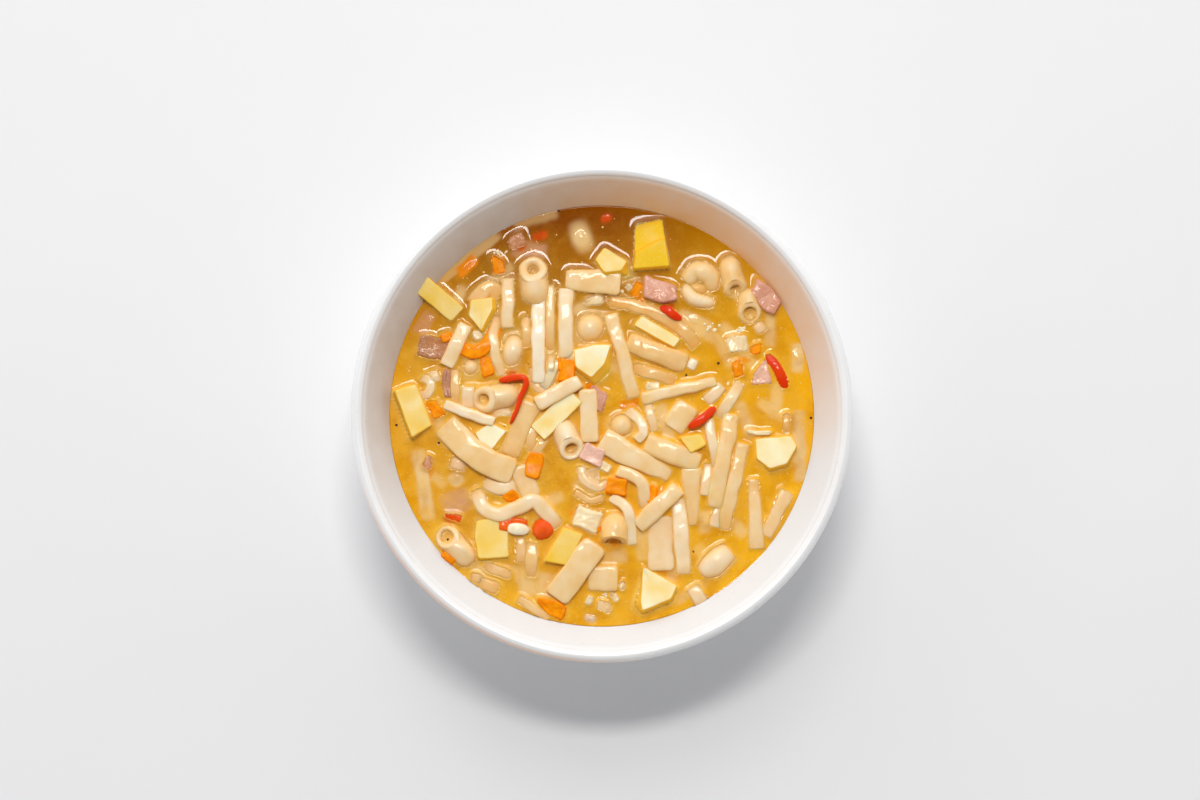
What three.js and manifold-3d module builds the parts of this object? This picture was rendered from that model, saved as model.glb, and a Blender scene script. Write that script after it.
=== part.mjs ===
// Bowl of pasta and potato soup: a round stoneware bowl, the broth in it up to its level,
// the heap of pasta that stands through the broth, and the potato, ham, carrot, tomato and
// onion pieces that float in it. Millimetres, +Z up, origin under the middle of the foot.
import * as THREE from 'three';
import { mergeVertices } from 'three/addons/utils/BufferGeometryUtils.js';
import Module from 'manifold-3d';

const wasm = await Module();
wasm.setup();

// Bowl
const RIM_RADIUS = 82.4;
const RIM_HEIGHT = 52;
const LIP_RADIUS = 2;
const INNER_RIM_RADIUS = 78.6;
const INNER_RIM_HEIGHT = 51;
const FLOOR_HEIGHT = 7;
const WALL_POWER = 2.5;
const OUTER_START_HEIGHT = 1.5;
const FOOT_RADIUS = 36;
const FOOT_WIDTH = 5;
const FOOT_EDGE = 0.8;
const FOOT_RECESS = 2.5;
const BOWL_SEGMENTS = 44;
const INNER_STATIONS = [0, 22, 38, 50, 59, 66, 71.3, 75.6];
const OUTER_STATIONS = [37, 48, 59.5, 70, 77.5];
const LIP_STATIONS = [0, 0.3, 0.5, 0.7, 0.92];

// Soup
const SOUP_LEVEL = 41.5;
const CORE_DEPTH = 2.6;
const CORE_EDGE_DROP = 1.6;
const CORE_EDGE_INSET = 5;
const CORE_STATIONS = [0, 38, 59];
const GAP = 0.3;
const SLIVER = 0.06;
const UP = new THREE.Vector3(0, 0, 1);

// Cooked pasta
const RIBBON_THICKNESS = 1.5;
const RIBBON_DIP_RUN = 1.6;
const RIBBON_DIP = 2.2;
const STRAND_FLATNESS = 0.86;
const STRAND_SIDES = 6;
const ELBOW_BEND_RADIUS = 7;
const ELBOW_BORE_DEPTH = 0.35;

// Potato pieces: corners of the face that shows, height of that face over the broth,
// thickness, and how many degrees the face leans to the east and to the north
const POTATOES = [
  {
    top: 2.6,
    thick: 5,
    lean: [5, -6],
    corners: [[-58.3, 46], [-61.7, 40.3], [-50, 30.6], [-45.7, 35.3]],
  },
  {
    top: 2.4,
    thick: 8,
    lean: [-9, 4],
    corners: [[-44, 38.3], [-35.3, 39.3], [-34.7, 35], [-39.7, 26.5], [-44.7, 33]],
  },
  {
    top: 2.6,
    thick: 9,
    lean: [2, 10],
    corners: [[-2.3, 51.7], [1, 56.8], [10, 55], [9.3, 47], [0, 45.7]],
  },
  { top: 2.2, thick: 8, lean: [-3, 4], corners: [[11, 64.5], [21, 67.5], [22.7, 48.7], [10, 47.7]] },
  {
    top: 3,
    thick: 9,
    lean: [-3, 12],
    corners: [[-9.3, 21.5], [-2.7, 23.9], [3.7, 20.2], [2.7, 12.1], [-4, 9.4], [-9.7, 14.8]],
  },
  { top: 1.6, thick: 5, lean: [0, 5], corners: [[10, 29.2], [13.3, 33.3], [26.7, 24.9], [24.7, 20.5]] },
  { top: 3, thick: 9, lean: [14, 4], corners: [[-68, 6.5], [-61.3, 9.7], [-56, -4], [-62.7, -8.4]] },
  {
    top: 1.6,
    thick: 8,
    lean: [0, 5],
    corners: [[-42.3, -6], [-36.7, -2.7], [-30, -6], [-31.3, -12.1], [-38, -14.1]],
  },
  { top: 1.7, thick: 6, lean: [-8, 6], corners: [[-11, 8.4], [-6.3, 3.7], [-19, -9.1], [-23.7, -4]] },
  {
    top: 1.3,
    thick: 6,
    lean: [0, 5],
    corners: [[26, -7.4], [32.7, -6.7], [34.7, -10.4], [29.3, -13.4]],
  },
  {
    top: 2.2,
    thick: 9,
    lean: [-3, 6],
    corners: [[50.3, -8.4], [62.7, -7.1], [64.7, -11.4], [61.3, -18.1], [55.3, -19.8], [50.7, -15.5]],
  },
  {
    top: 1.3,
    thick: 8,
    lean: [3, 4],
    corners: [[-40.7, -35], [-35, -32.3], [-30, -36.3], [-31.3, -45.7], [-38, -49], [-42, -43.3]],
  },
  { top: 1.8, thick: 8, lean: [4, 3], corners: [[-12.3, -38], [-6, -40], [-11.3, -50.4], [-19, -48.7]] },
  {
    top: 2.4,
    thick: 8,
    lean: [-4, 8],
    corners: [[13, -49.4], [25.3, -56.8], [23, -62.2], [12.7, -66.5], [8.7, -63.5]],
  },
];

// Diced pieces: middle, width and depth, turn in degrees, height over the broth, thickness
const HAM = [
  { at: [18.3, 42.3], size: [12, 9.6], turn: -8, top: 2.4, thick: 6 },
  { at: [54, 40], size: [9, 11], turn: 30, top: 1.3, thick: 5 },
  { at: [-56.3, 22.2], size: [10.4, 7.2], turn: 14, top: 1, thick: 5 },
  { at: [-3.4, -13.4], size: [6.8, 7.6], turn: 12, top: 2, thick: 6 },
  { at: [53.3, 13.4], size: [7.4, 8.2], turn: 20, top: 1, thick: 5 },
  { at: [-51.3, 9.9], size: [2.8, 9], turn: 4, top: 1.2, thick: 5 },
  { at: [-1.6, 4.4], size: [6.6, 7.6], turn: -18, top: 1.2, thick: 5 },
  { at: [-28.3, 58], size: [5.2, 4.4], turn: 20, top: 1, thick: 4 },
];
const CARROTS = [
  { at: [-41, 23.2], size: [8.6, 8], turn: 22, top: 2.2, thick: 7 },
  { at: [-38.3, 15.5], size: [4, 6.6], turn: 10, top: 1.2, thick: 4 },
  { at: [-11.4, 14.4], size: [5, 8], turn: -14, top: 1.6, thick: 5 },
  { at: [-55.2, 1.4], size: [4, 7], turn: 24, top: 1.3, thick: 5 },
  { at: [-30.3, -27.2], size: [4.8, 4.2], turn: 30, top: 1.2, thick: 4 },
  { at: [-22.3, -17.5], size: [5, 7.6], turn: -12, top: 1.4, thick: 5 },
  { at: [4.7, -24.4], size: [6.4, 6.2], turn: 8, top: 2.2, thick: 6 },
  { at: [16.3, -26.9], size: [3.6, 6.4], turn: -6, top: 1.3, thick: 4 },
  { at: [-16.3, -62.6], size: [9.6, 6.6], turn: -14, top: 1.4, thick: 6 },
  { at: [-50, -47], size: [3.8, 4.8], turn: 45, top: 1, thick: 4 },
  { at: [51.3, 21.5], size: [4, 4], turn: 15, top: 1, thick: 4 },
  { at: [45, 14.8], size: [4.4, 4.6], turn: 50, top: 1.3, thick: 4 },
];

// Tomato skins, each a thin band on edge along its path, and the soft tomato pieces
const TOMATO_SKINS = [
  { path: [[-33, 10.6], [-25.6, 11.2], [-27.4, 4], [-30, -3]], wide: 2.7, tops: [1.3, 1.9, 1.6, 1.2] },
  { path: [[19.3, 35.6], [26.6, 31.8]], wide: 3, tops: [0.8, 1.6, 0.8] },
  { path: [[37.7, 2], [33.4, -1.8], [28.7, -4.7]], wide: 3, tops: [1, 2, 1] },
  { path: [[55.6, 20.4], [60, 15.6], [60.4, 8.6]], wide: 3, tops: [0.6, 1.8, 0.8] },
];
const TOMATO_THICKNESS = 3;
const TOMATO_PULP = { at: [-29.3, -37.2], size: [8.6, 5.6], turn: 4, top: 1, thick: 4 };
const TOMATO_BALL = { at: [-20, -38.3], radius: 3.7, top: 2.6 };
const ONION = { at: [-5, -35], size: [9, 7], turn: -20, top: 1.2, thick: 3.4 };

// Wide ribbons of pasta: path, width, width at the far end where it differs, and heights over
// the broth along the path. Past its far end each dips under the broth.
const RIBBONS = [
  { path: [[-53, -3.4], [-44, -11.4], [-30, -19.4]], wide: 9.3, tops: [0.9, 1.6, 0.9] },
  { path: [[-1.3, -42.3], [-14.4, -60]], wide: 8.7, tops: [2, 0.9] },
  { path: [[1, -9.6], [22.4, -20.4]], wide: 9.3, far: 4.7, tops: [1.4, 1] },
  { path: [[6, 44.7], [-9, 44]], wide: 8.7, tops: [1.4, 1] },
  { path: [[9.3, 23.4], [25.7, 16.5]], wide: 6.7, tops: [1, 1.2] },
  { path: [[28.5, 2.7], [23.8, -4]], wide: 7.5, tops: [1.4, 1] },
  { path: [[-4.7, 8], [-4, -9.5]], wide: 6, tops: [1.4, 1] },
  { path: [[29.3, -18.1], [30, -37]], wide: 7.3, far: 3, tops: [1.4, 0.8] },
  { path: [[-3.5, -52], [4.5, -57.4]], wide: 8, tops: [0.9, 0.9] },
  { path: [[19.3, -36], [19.5, -51.4]], wide: 9, tops: [0.9, 0.8] },
  { path: [[-23, 3.7], [-30.8, -13.6]], wide: 6.3, tops: [1.2, 0.9] },
  { path: [[-7.3, 10.8], [-21.4, 3.2]], wide: 5, tops: [2, 1.2] },
  { path: [[-28, -18.1], [-23, -27.8]], wide: 6, tops: [0.9, 1] },
  {
    path: [[-42, -25.9], [-35.7, -33.6], [-23.4, -28.8], [-16.4, -37]],
    wide: 5,
    tops: [0.9, 1.2, 1.6, 0.8],
  },
];

// Strands and short arches: as the ribbons, but one that is straight has a height for its
// middle too, and they do not dip
const STRANDS = [
  { path: [[-45, 29.6], [-51.7, 16.1]], wide: 5, tops: [0.2, 1.4, 0.8] },
  { path: [[-31.3, 45.4], [-31.3, 28.9]], wide: 4.4, tops: [0.2, 1.4, 0.8] },
  { path: [[-12, 42], [-12, 18.8]], wide: 5, tops: [0.6, 1.6, 0.4] },
  { path: [[-17.3, 43], [-17.3, 17.1]], wide: 3.4, tops: [0.4, 1, -0.9] },
  { path: [[-21, 38.6], [-21, 10.4]], wide: 4.7, tops: [0.4, 1.7, 0.4] },
  { path: [[-34.3, 36], [-36, 23.9], [-33.3, 12.8]], wide: 3.4, tops: [-0.9, 1.2, 0.4] },
  { path: [[-52, 3], [-35.7, -3]], wide: 3.4, tops: [-0.9, 1, 0.4] },
  { path: [[3, 33.3], [10.7, 5.4]], wide: 4.7, tops: [0.4, 1.5, 0.2] },
  { path: [[2.7, 38], [16, 34.4], [26.6, 28.2], [31.4, 22.6]], wide: 4.4, tops: [0, 0.9, 0.8, 0.2] },
  { path: [[9.3, 15.5], [24.3, 11.1]], wide: 4, tops: [-0.2, 1.2, 0.6] },
  { path: [[13.3, 5], [37.7, 10.8]], wide: 4.4, far: 3.4, tops: [0.6, 1.4, -0.2] },
  { path: [[46, 10.4], [39, -1.3]], wide: 4, tops: [0.4, 1.2, -0.2] },
  { path: [[14.7, -9.7], [32, -16.5]], wide: 6.7, tops: [1, 2.4, 0.8] },
  { path: [[35.3, -1.7], [38.3, -19.8]], wide: 3.4, tops: [0.4, 1, -0.9] },
  { path: [[43, -0.3], [37, -31]], wide: 5.4, tops: [0.8, 1.8, 0.6] },
  { path: [[46.7, -10], [40, -38.3]], wide: 4.7, tops: [0.8, 1.4, 0.2] },
  { path: [[50, -22], [51, -44.7]], wide: 3.6, far: 5.4, tops: [-0.2, 1.1, 0.6] },
  { path: [[61.5, -26], [54, -40.5]], wide: 4.7, tops: [0, 0.8, 0.2] },
  { path: [[5.3, -18.8], [12.7, -22.6], [14.3, -31]], wide: 4, tops: [0.6, 1.4, -0.2] },
  { path: [[3.3, -27.6], [8.7, -32.3], [10, -43.3]], wide: 3.6, tops: [0.4, 1.2, -0.6] },
  { path: [[25.3, -24.9], [11.7, -37.3]], wide: 5.7, tops: [0.8, 1.9, 0.6] },
  { path: [[25, -28.2], [27, -53]], wide: 5, tops: [0.4, 1.4, 0.2] },
  { path: [[-60.7, -12], [-57, -35]], wide: 4.4, tops: [0, 0.6, 0] },
  { path: [[-23, -43], [-23.4, -54]], wide: 4, tops: [0, 0.8, -0.2] },
  { path: [[11, 0.7], [13.4, -3.4], [11.7, -9]], wide: 3.4, tops: [-0.9, 1, 0.4] },
];
const ARCHES = [
  { path: [[-7.7, 25.6], [0.3, 32.2]], wide: 9.5, tops: [-2.2, 2.4, -2.2] },
  { path: [[-28.7, 27.6], [-30.6, 14.4]], wide: 7.6, tops: [-1.6, 2, -1.6] },
  { path: [[2.6, -3], [10.6, -5]], wide: 8.2, tops: [-2.2, 1.8, -2.2] },
  { path: [[-54.4, 11], [-59.4, 11.6]], wide: 5.6, tops: [-1.6, 1.4, -1.6] },
  { path: [[-43.7, 12.4], [-43.4, 19]], wide: 5.6, tops: [-1.6, 1.4, -1.6] },
  { path: [[-8.6, 64], [-5.2, 55.4]], wide: 7, tops: [-1.6, 0.8, -1.6] },
  { path: [[42, -45], [34.6, -47.4], [36.4, -53.6]], wide: 4.6, tops: [-0.6, 1.6, -0.6] },
];

// Elbow tubes that stand mouth up: middle of the mouth, direction in degrees in which the
// tube bends away below it, tube width, bore, and height of the mouth over the broth
const ELBOWS = [
  { mouth: [-23.3, 49], heading: -80, wide: 9.2, bore: 3.4, lift: 2 },
  { mouth: [-38.2, 4.6], heading: 18, wide: 8, bore: 2.6, lift: 1.6 },
  { mouth: [32.7, 44], heading: 95, wide: 13, bore: 6.6, lift: 2.4 },
  { mouth: [44.7, 41], heading: 110, wide: 8.2, bore: 3.2, lift: 1.8 },
  { mouth: [48.6, 32.6], heading: -60, wide: 7.8, bore: 3.8, lift: 1.2 },
  { mouth: [-9.7, -12.4], heading: 94, wide: 8, bore: 3.6, lift: 2 },
  { mouth: [-51.4, -40.2], heading: -50, wide: 7.7, bore: 3.8, lift: 1.4 },
  { mouth: [3.4, -40.6], heading: 80, wide: 8.6, bore: 4, lift: 1.8 },
];

const COLOURS = {
  stoneware: 0xf0f0ee,
  broth: 0xdf9a22,
  pasta: 0xf0cf94,
  potato: 0xf2df92,
  ham: 0xe3a98f,
  carrot: 0xfb9a06,
  tomato: 0xe2551a,
  onion: 0xf3dcc0,
};

const innerHeight = (radius) => FLOOR_HEIGHT
  + (INNER_RIM_HEIGHT - FLOOR_HEIGHT) * (radius / INNER_RIM_RADIUS) ** WALL_POWER;

const outerHeight = (radius) => OUTER_START_HEIGHT
  + (RIM_HEIGHT - LIP_RADIUS - OUTER_START_HEIGHT) * (radius / RIM_RADIUS) ** WALL_POWER;

const innerRadius = (height) => INNER_RIM_RADIUS
  * ((height - FLOOR_HEIGHT) / (INNER_RIM_HEIGHT - FLOOR_HEIGHT)) ** (1 / WALL_POWER);

// Point of the inner wall, moved off it into the bowl by an offset
function wallPoint(radius, offset) {
  const slope = WALL_POWER * (innerHeight(radius) - FLOOR_HEIGHT) / Math.max(radius, 1);
  const steepness = Math.hypot(1, slope);
  return new THREE.Vector2(
    Math.max(0, radius - offset * slope / steepness),
    innerHeight(radius) + offset / steepness,
  );
}

// Solid of a closed geometry, and back
function solidOf(geometry) {
  const bare = geometry.clone();
  bare.deleteAttribute('normal');
  bare.deleteAttribute('uv');
  const merged = mergeVertices(bare, 1e-4);
  return new wasm.Manifold(new wasm.Mesh({
    numProp: 3,
    vertProperties: new Float32Array(merged.attributes.position.array),
    triVerts: new Uint32Array(merged.index.array),
  }));
}

function geometryOf(solid) {
  const mesh = solid.getMesh();
  const geometry = new THREE.BufferGeometry();
  geometry.setAttribute('position', new THREE.BufferAttribute(mesh.vertProperties, 3));
  geometry.setIndex(new THREE.BufferAttribute(mesh.triVerts, 1));
  geometry.computeVertexNormals();
  return geometry;
}

// Largest body of a cut solid: scraps that a cut leaves loose are dropped
function mainBody(solid) {
  const bodies = solid.simplify(SLIVER).decompose();
  bodies.sort((first, second) => second.volume() - first.volume());
  return bodies[0];
}

// Turned solid of a half outline that starts and ends on the axis
function turned(outline) {
  const lathe = new THREE.LatheGeometry(outline, BOWL_SEGMENTS);
  lathe.rotateX(Math.PI / 2);
  return solidOf(lathe);
}

// Bar that follows a curve, round or four-sided, wider by a margin all round on request
function bar(curve, { wide, far = wide, high, round = true, side = null, steps = 5, margin = 0 }) {
  const shape = round
    ? new THREE.CylinderGeometry(0.5, 0.5, 1, STRAND_SIDES, steps, false, Math.PI / STRAND_SIDES)
    : new THREE.BoxGeometry(1, 1, 1, 1, steps, 1);
  const places = shape.attributes.position;
  const overrun = margin / curve.getLength();
  const point = new THREE.Vector3();
  for (let i = 0; i < places.count; i += 1) {
    point.fromBufferAttribute(places, i);
    const along = point.y * (1 + 2 * overrun) + 0.5;
    const t = THREE.MathUtils.clamp(along, 0, 1);
    const tangent = curve.getTangent(t);
    const across = side ?? new THREE.Vector3().crossVectors(tangent, UP).normalize();
    const above = new THREE.Vector3().crossVectors(across, tangent);
    const spread = THREE.MathUtils.lerp(wide, far, t) + 2 * margin;
    const moved = curve.getPoint(t)
      .addScaledVector(tangent, (along - t) * curve.getLength())
      .addScaledVector(across, point.x * spread)
      .addScaledVector(above, point.z * (high + 2 * margin));
    places.setXYZ(i, moved.x, moved.y, moved.z);
  }
  return solidOf(shape);
}

// Curve over a path on the broth, a given depth under its heights
function routeOver(path, tops, sink) {
  return new THREE.CatmullRomCurve3(path.map(([x, y], i) => new THREE.Vector3(
    x,
    y,
    SOUP_LEVEL + tops[i] - sink,
  )));
}

function ribbon({ path, tops, wide, far }, margin) {
  const end = new THREE.Vector2(...path.at(-1));
  const run = end.clone().sub(new THREE.Vector2(...path.at(-2))).setLength(RIBBON_DIP_RUN);
  const dipped = [...path, end.add(run).toArray()];
  return bar(
    routeOver(dipped, [...tops, -RIBBON_DIP], RIBBON_THICKNESS / 2),
    { wide, far, high: RIBBON_THICKNESS, round: false, steps: path.length, margin },
  );
}

// A straight piece gets a point at its middle, for the height there
const withMiddle = (path) => (path.length > 2 ? path : [
  path[0],
  [(path[0][0] + path[1][0]) / 2, (path[0][1] + path[1][1]) / 2],
  path[1],
]);

// A round strand, and with a margin the square channel that the broth leaves for it
function strand({ path, tops, wide, far }, margin) {
  const high = wide * STRAND_FLATNESS;
  return bar(
    routeOver(withMiddle(path), tops, high / 2),
    { wide, far, high, round: margin === 0, steps: Math.max(2, path.length), margin },
  );
}

const skin = ({ path, tops, wide }, margin) => bar(
  routeOver(withMiddle(path), tops, TOMATO_THICKNESS / 2),
  { wide, high: TOMATO_THICKNESS, round: false, steps: 3, margin },
);

// Quarter turn of an elbow tube, from its mouth down and away along its heading
class ElbowCurve extends THREE.Curve {
  constructor({ mouth, heading, lift }) {
    super();
    this.mouth = new THREE.Vector3(mouth[0], mouth[1], SOUP_LEVEL + lift);
    const turn = THREE.MathUtils.degToRad(heading);
    this.outward = new THREE.Vector3(Math.cos(turn), Math.sin(turn), 0);
  }

  getPoint(t) {
    const angle = t * Math.PI / 2;
    return this.mouth.clone()
      .addScaledVector(this.outward, ELBOW_BEND_RADIUS * (1 - Math.cos(angle)))
      .addScaledVector(UP, -ELBOW_BEND_RADIUS * Math.sin(angle));
  }
}

function elbow(piece, margin) {
  const curve = new ElbowCurve(piece);
  const side = new THREE.Vector3().crossVectors(curve.outward, UP);
  return bar(curve, { wide: piece.wide, high: piece.wide, side, steps: 3, margin });
}

// Blind bore in the mouth of an elbow, open at the top
function elbowBore(piece) {
  const top = SOUP_LEVEL + piece.lift;
  const bottom = top - ELBOW_BORE_DEPTH * ELBOW_BEND_RADIUS;
  const [x, y] = piece.mouth;
  const drill = new THREE.CylinderGeometry(piece.bore / 2, piece.bore / 2, top - bottom + 1, 8);
  drill.rotateX(Math.PI / 2);
  drill.translate(x, y, (top + bottom + 1) / 2);
  return solidOf(drill);
}

// Cut piece with bevelled edges: outline of the face that shows, and a lean about its middle
function chunk({ corners, top, thick, lean = [0, 0], bevel = 1 }, margin) {
  const outline = new THREE.Shape(corners.map(([x, y]) => new THREE.Vector2(x, y)));
  const block = new THREE.ExtrudeGeometry(outline, {
    depth: thick - 2 * bevel,
    bevelSize: bevel,
    bevelThickness: bevel + margin,
    bevelOffset: margin - bevel,
    bevelSegments: 1,
  });
  const middle = corners.reduce(([sx, sy], [x, y]) => [sx + x, sy + y], [0, 0])
    .map((sum) => sum / corners.length);
  block.translate(-middle[0], -middle[1], bevel - thick);
  block.rotateX(-THREE.MathUtils.degToRad(lean[1]));
  block.rotateY(THREE.MathUtils.degToRad(lean[0]));
  block.translate(middle[0], middle[1], SOUP_LEVEL + top);
  return solidOf(block);
}

// Diced piece: a chunk with a rectangular face
function dice({ at: [x, y], size: [width, depth], turn, top, thick }, margin) {
  const angle = THREE.MathUtils.degToRad(turn);
  const signs = [[-1, -1], [1, -1], [1, 1], [-1, 1]];
  const corners = signs.map(([alongSign, acrossSign]) => {
    const along = alongSign * width / 2;
    const across = acrossSign * depth / 2;
    return [
      x + along * Math.cos(angle) - across * Math.sin(angle),
      y + along * Math.sin(angle) + across * Math.cos(angle),
    ];
  });
  return chunk({ corners, top, thick, bevel: 0.7 }, margin);
}

function ball({ at: [x, y], radius, top }, margin) {
  const sphere = new THREE.SphereGeometry(radius + margin, 12, 8);
  sphere.translate(x, y, SOUP_LEVEL + top - radius);
  return solidOf(sphere);
}

function bowlOutline() {
  const lip = LIP_STATIONS.map((share) => {
    const angle = share * Math.PI;
    return new THREE.Vector2(
      RIM_RADIUS - LIP_RADIUS * (1 - Math.cos(angle)),
      RIM_HEIGHT - LIP_RADIUS * (1 - Math.sin(angle)),
    );
  });
  const inner = INNER_STATIONS.map((radius) => wallPoint(radius, 0)).reverse();
  return [
    new THREE.Vector2(0, FOOT_RECESS),
    new THREE.Vector2(FOOT_RADIUS - FOOT_WIDTH - FOOT_EDGE, FOOT_RECESS),
    new THREE.Vector2(FOOT_RADIUS - FOOT_WIDTH, 0),
    new THREE.Vector2(FOOT_RADIUS - FOOT_EDGE, 0),
    new THREE.Vector2(FOOT_RADIUS, FOOT_EDGE),
    ...OUTER_STATIONS.map((radius) => new THREE.Vector2(radius, outerHeight(radius))),
    ...lip,
    ...inner,
  ];
}

// Top of the settled core, from its edge at the wall over a shoulder to the axis
function coreTopOutline(raise) {
  const top = SOUP_LEVEL - CORE_DEPTH + raise;
  const edge = wallPoint(innerRadius(top - CORE_EDGE_DROP), GAP);
  return [
    new THREE.Vector2(edge.x, top - CORE_EDGE_DROP),
    new THREE.Vector2(edge.x - CORE_EDGE_INSET, top),
    new THREE.Vector2(0, top),
  ];
}

// Room in the bowl that food may fill, a gap off the wall
const room = turned([
  ...INNER_STATIONS.map((radius) => wallPoint(radius, GAP)),
  new THREE.Vector2(wallPoint(INNER_RIM_RADIUS, GAP).x, RIM_HEIGHT),
  new THREE.Vector2(0, RIM_HEIGHT),
]);

const group = new THREE.Group();

function addNode(name, solid, color, roughness) {
  const material = new THREE.MeshStandardMaterial({ color, roughness, metalness: 0 });
  const mesh = new THREE.Mesh(geometryOf(solid), material);
  mesh.name = name;
  group.add(mesh);
}

// Pieces that float in the broth. Each is cut clear of the wall and of those before it.
const floating = [];

function addPieces(kind, list, shape, roughness) {
  list.forEach((piece, index) => {
    let solid = room.intersect(shape(piece, 0));
    for (const other of floating) {
      solid = solid.subtract(other);
    }
    floating.push(shape(piece, GAP));
    const name = `${kind}_${String(index + 1).padStart(2, '0')}`;
    addNode(name, mainBody(solid), COLOURS[kind], roughness);
  });
}

addNode('bowl', turned(bowlOutline()), COLOURS.stoneware, 0.25);
addPieces('potato', POTATOES, chunk, 0.45);
addPieces('ham', HAM, dice, 0.4);
addPieces('carrot', CARROTS, dice, 0.35);
const tomatoes = [
  ...TOMATO_SKINS.map((piece) => [skin, piece]),
  [ball, TOMATO_BALL],
  [dice, TOMATO_PULP],
];
addPieces('tomato', tomatoes, ([shape, piece], margin) => shape(piece, margin), 0.3);
addPieces('onion', [ONION], dice, 0.3);
const garnish = wasm.Manifold.union(floating);

// Heap of pasta: the settled core and the pieces that show, as one body
const noodles = (margin) => wasm.Manifold.union([
  ...RIBBONS.map((piece) => ribbon(piece, margin)),
  ...STRANDS.map((piece) => strand(piece, margin)),
  ...ARCHES.map((piece) => strand(piece, margin)),
  ...ELBOWS.map((piece) => elbow(piece, margin)),
]);
const core = turned([
  ...CORE_STATIONS.map((radius) => wallPoint(radius, GAP)),
  ...coreTopOutline(0),
]);
const bores = wasm.Manifold.union(ELBOWS.map(elbowBore));
const pasta = mainBody(core.add(noodles(0).subtract(bores)).intersect(room).subtract(garnish));
addNode('pasta', pasta, COLOURS.pasta, 0.4);

// Broth: from the core up to its level, cut round all that stands in it
const shore = wallPoint(innerRadius(SOUP_LEVEL), GAP);
const broth = mainBody(turned([
  ...coreTopOutline(GAP).reverse(),
  new THREE.Vector2(shore.x, SOUP_LEVEL),
  new THREE.Vector2(0, SOUP_LEVEL),
]).subtract(noodles(GAP)).subtract(garnish));
addNode('broth', broth, COLOURS.broth, 0.1);

export default group;
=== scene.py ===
"""Bowl of pasta and potato soup.

A glazed stoneware bowl holds golden broth, boiled pasta in three cuts, and pieces of potato, ham,
carrot, tomato and onion. It is seen from nearly straight above on a white table. Lengths are
millimetres until a mesh is made, +Z is up, and -Y is the side nearest to the eater.
"""
import math

import bpy
import numpy as np
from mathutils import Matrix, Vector
from mathutils.bvhtree import BVHTree
from mathutils.kdtree import KDTree


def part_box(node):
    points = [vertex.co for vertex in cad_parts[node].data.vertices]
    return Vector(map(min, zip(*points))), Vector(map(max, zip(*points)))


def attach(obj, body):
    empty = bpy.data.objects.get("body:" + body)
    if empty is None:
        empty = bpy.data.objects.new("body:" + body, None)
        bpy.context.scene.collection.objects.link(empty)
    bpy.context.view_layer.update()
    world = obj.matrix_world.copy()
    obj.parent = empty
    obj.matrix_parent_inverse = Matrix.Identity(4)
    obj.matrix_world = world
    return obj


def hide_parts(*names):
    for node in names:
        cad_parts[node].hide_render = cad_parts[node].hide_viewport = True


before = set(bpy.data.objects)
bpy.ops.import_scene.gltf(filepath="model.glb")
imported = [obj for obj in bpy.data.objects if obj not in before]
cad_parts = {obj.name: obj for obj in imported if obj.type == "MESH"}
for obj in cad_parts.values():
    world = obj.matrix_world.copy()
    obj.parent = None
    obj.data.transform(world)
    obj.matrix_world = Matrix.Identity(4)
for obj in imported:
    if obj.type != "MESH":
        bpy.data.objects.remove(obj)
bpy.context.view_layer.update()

MM = 0.001
UP = np.array([0.0, 0.0, 1.0])

# Bowl, after its node: the lip is a half round, and each wall curves up by a power of its radius
RIM_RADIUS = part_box("bowl")[1][0] / MM
RIM_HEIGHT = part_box("bowl")[1][2] / MM
LIP_RADIUS = 2
INNER_RIM_RADIUS = 78.6
INNER_RIM_HEIGHT = 51
FLOOR_HEIGHT = 7
INNER_WALL_POWER = 2.15
OUTER_WALL_POWER = 2.5
OUTER_START_HEIGHT = 1.5
FOOT_RADIUS = 36
FOOT_WIDTH = 5
FOOT_EDGE = 0.8
FOOT_RECESS = 2.5
BOWL_SEGMENTS = 240

# Broth: its level after the node, its mesh, and how it rises where it wets a piece or the wall
SOUP_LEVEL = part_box("broth")[1][2] / MM
BROTH_CELLS = 306
BROTH_DEPTH = 2.2
MENISCUS_RISE = 0.8
MENISCUS_REACH = 0.65
WALL_RISE = 0.15
RIPPLE = 0.004

# A piece stands out of the broth where its top is higher than this. Broth covers all others by a
# skin, and under a standing piece's top it stays down by a gap.
LEAST_STANDING = 0.35
SKIN = 0.06
TOP_GAP = 0.15
LEAST_RISE = 0.05

# The height over the broth from which one looks, how deep one sees into it, how what lies deep
# blurs, and the milky broth round pieces
LOOK_FROM = 30
SIGHT_DEPTH = 1.9
NOTHING_UNDER = 9
BLUR_DEPTH = 0.6
BLUR_ROUNDS = 5
MILK_SHARE = 0.85
MILK_REACH = 4

# Painted shade: dark brown broth sets in from a line on towards the back, and painted light: bright golden
# broth towards a side
PAINTED_SHADE_SHARE = 0.98
PAINTED_SHADE_FROM = 8
PAINTED_SHADE_OVER = 56
PAINTED_LIGHT_SHARE = 0.6
PAINTED_LIGHT_EVERYWHERE = 0.25
PAINTED_LIGHT_TOWARDS = (0.78, -0.28)

# Settled pasta under the broth, and the starch that floats on it
CORE_DEPTH = 3.5
STARCH_FLAKES = 400
FLAKES_RADIUS = 67
FLOAT_TOP = 0.35
FLAKE_TOP = 0.14

# Camera: at the photograph's angle, it takes in 396 mm at the rim
CAMERA_TILT = math.radians(7.5)
CAMERA_DISTANCE = 900
CAMERA_TARGET = (-0.6, 3.3, 52)
CAMERA_LENS = 82.4
CAMERA_SENSOR = 36


def table_of(names, rows):
    """A dict for each row: its values under the names, and what a dict at its end adds."""
    table = []
    for row in rows:
        values = row if isinstance(row, tuple) else (row,)
        own = {}
        if isinstance(values[-1], dict):
            *values, own = values
        table.append(dict(zip(names.split(), values), **own))
    return table


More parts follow.
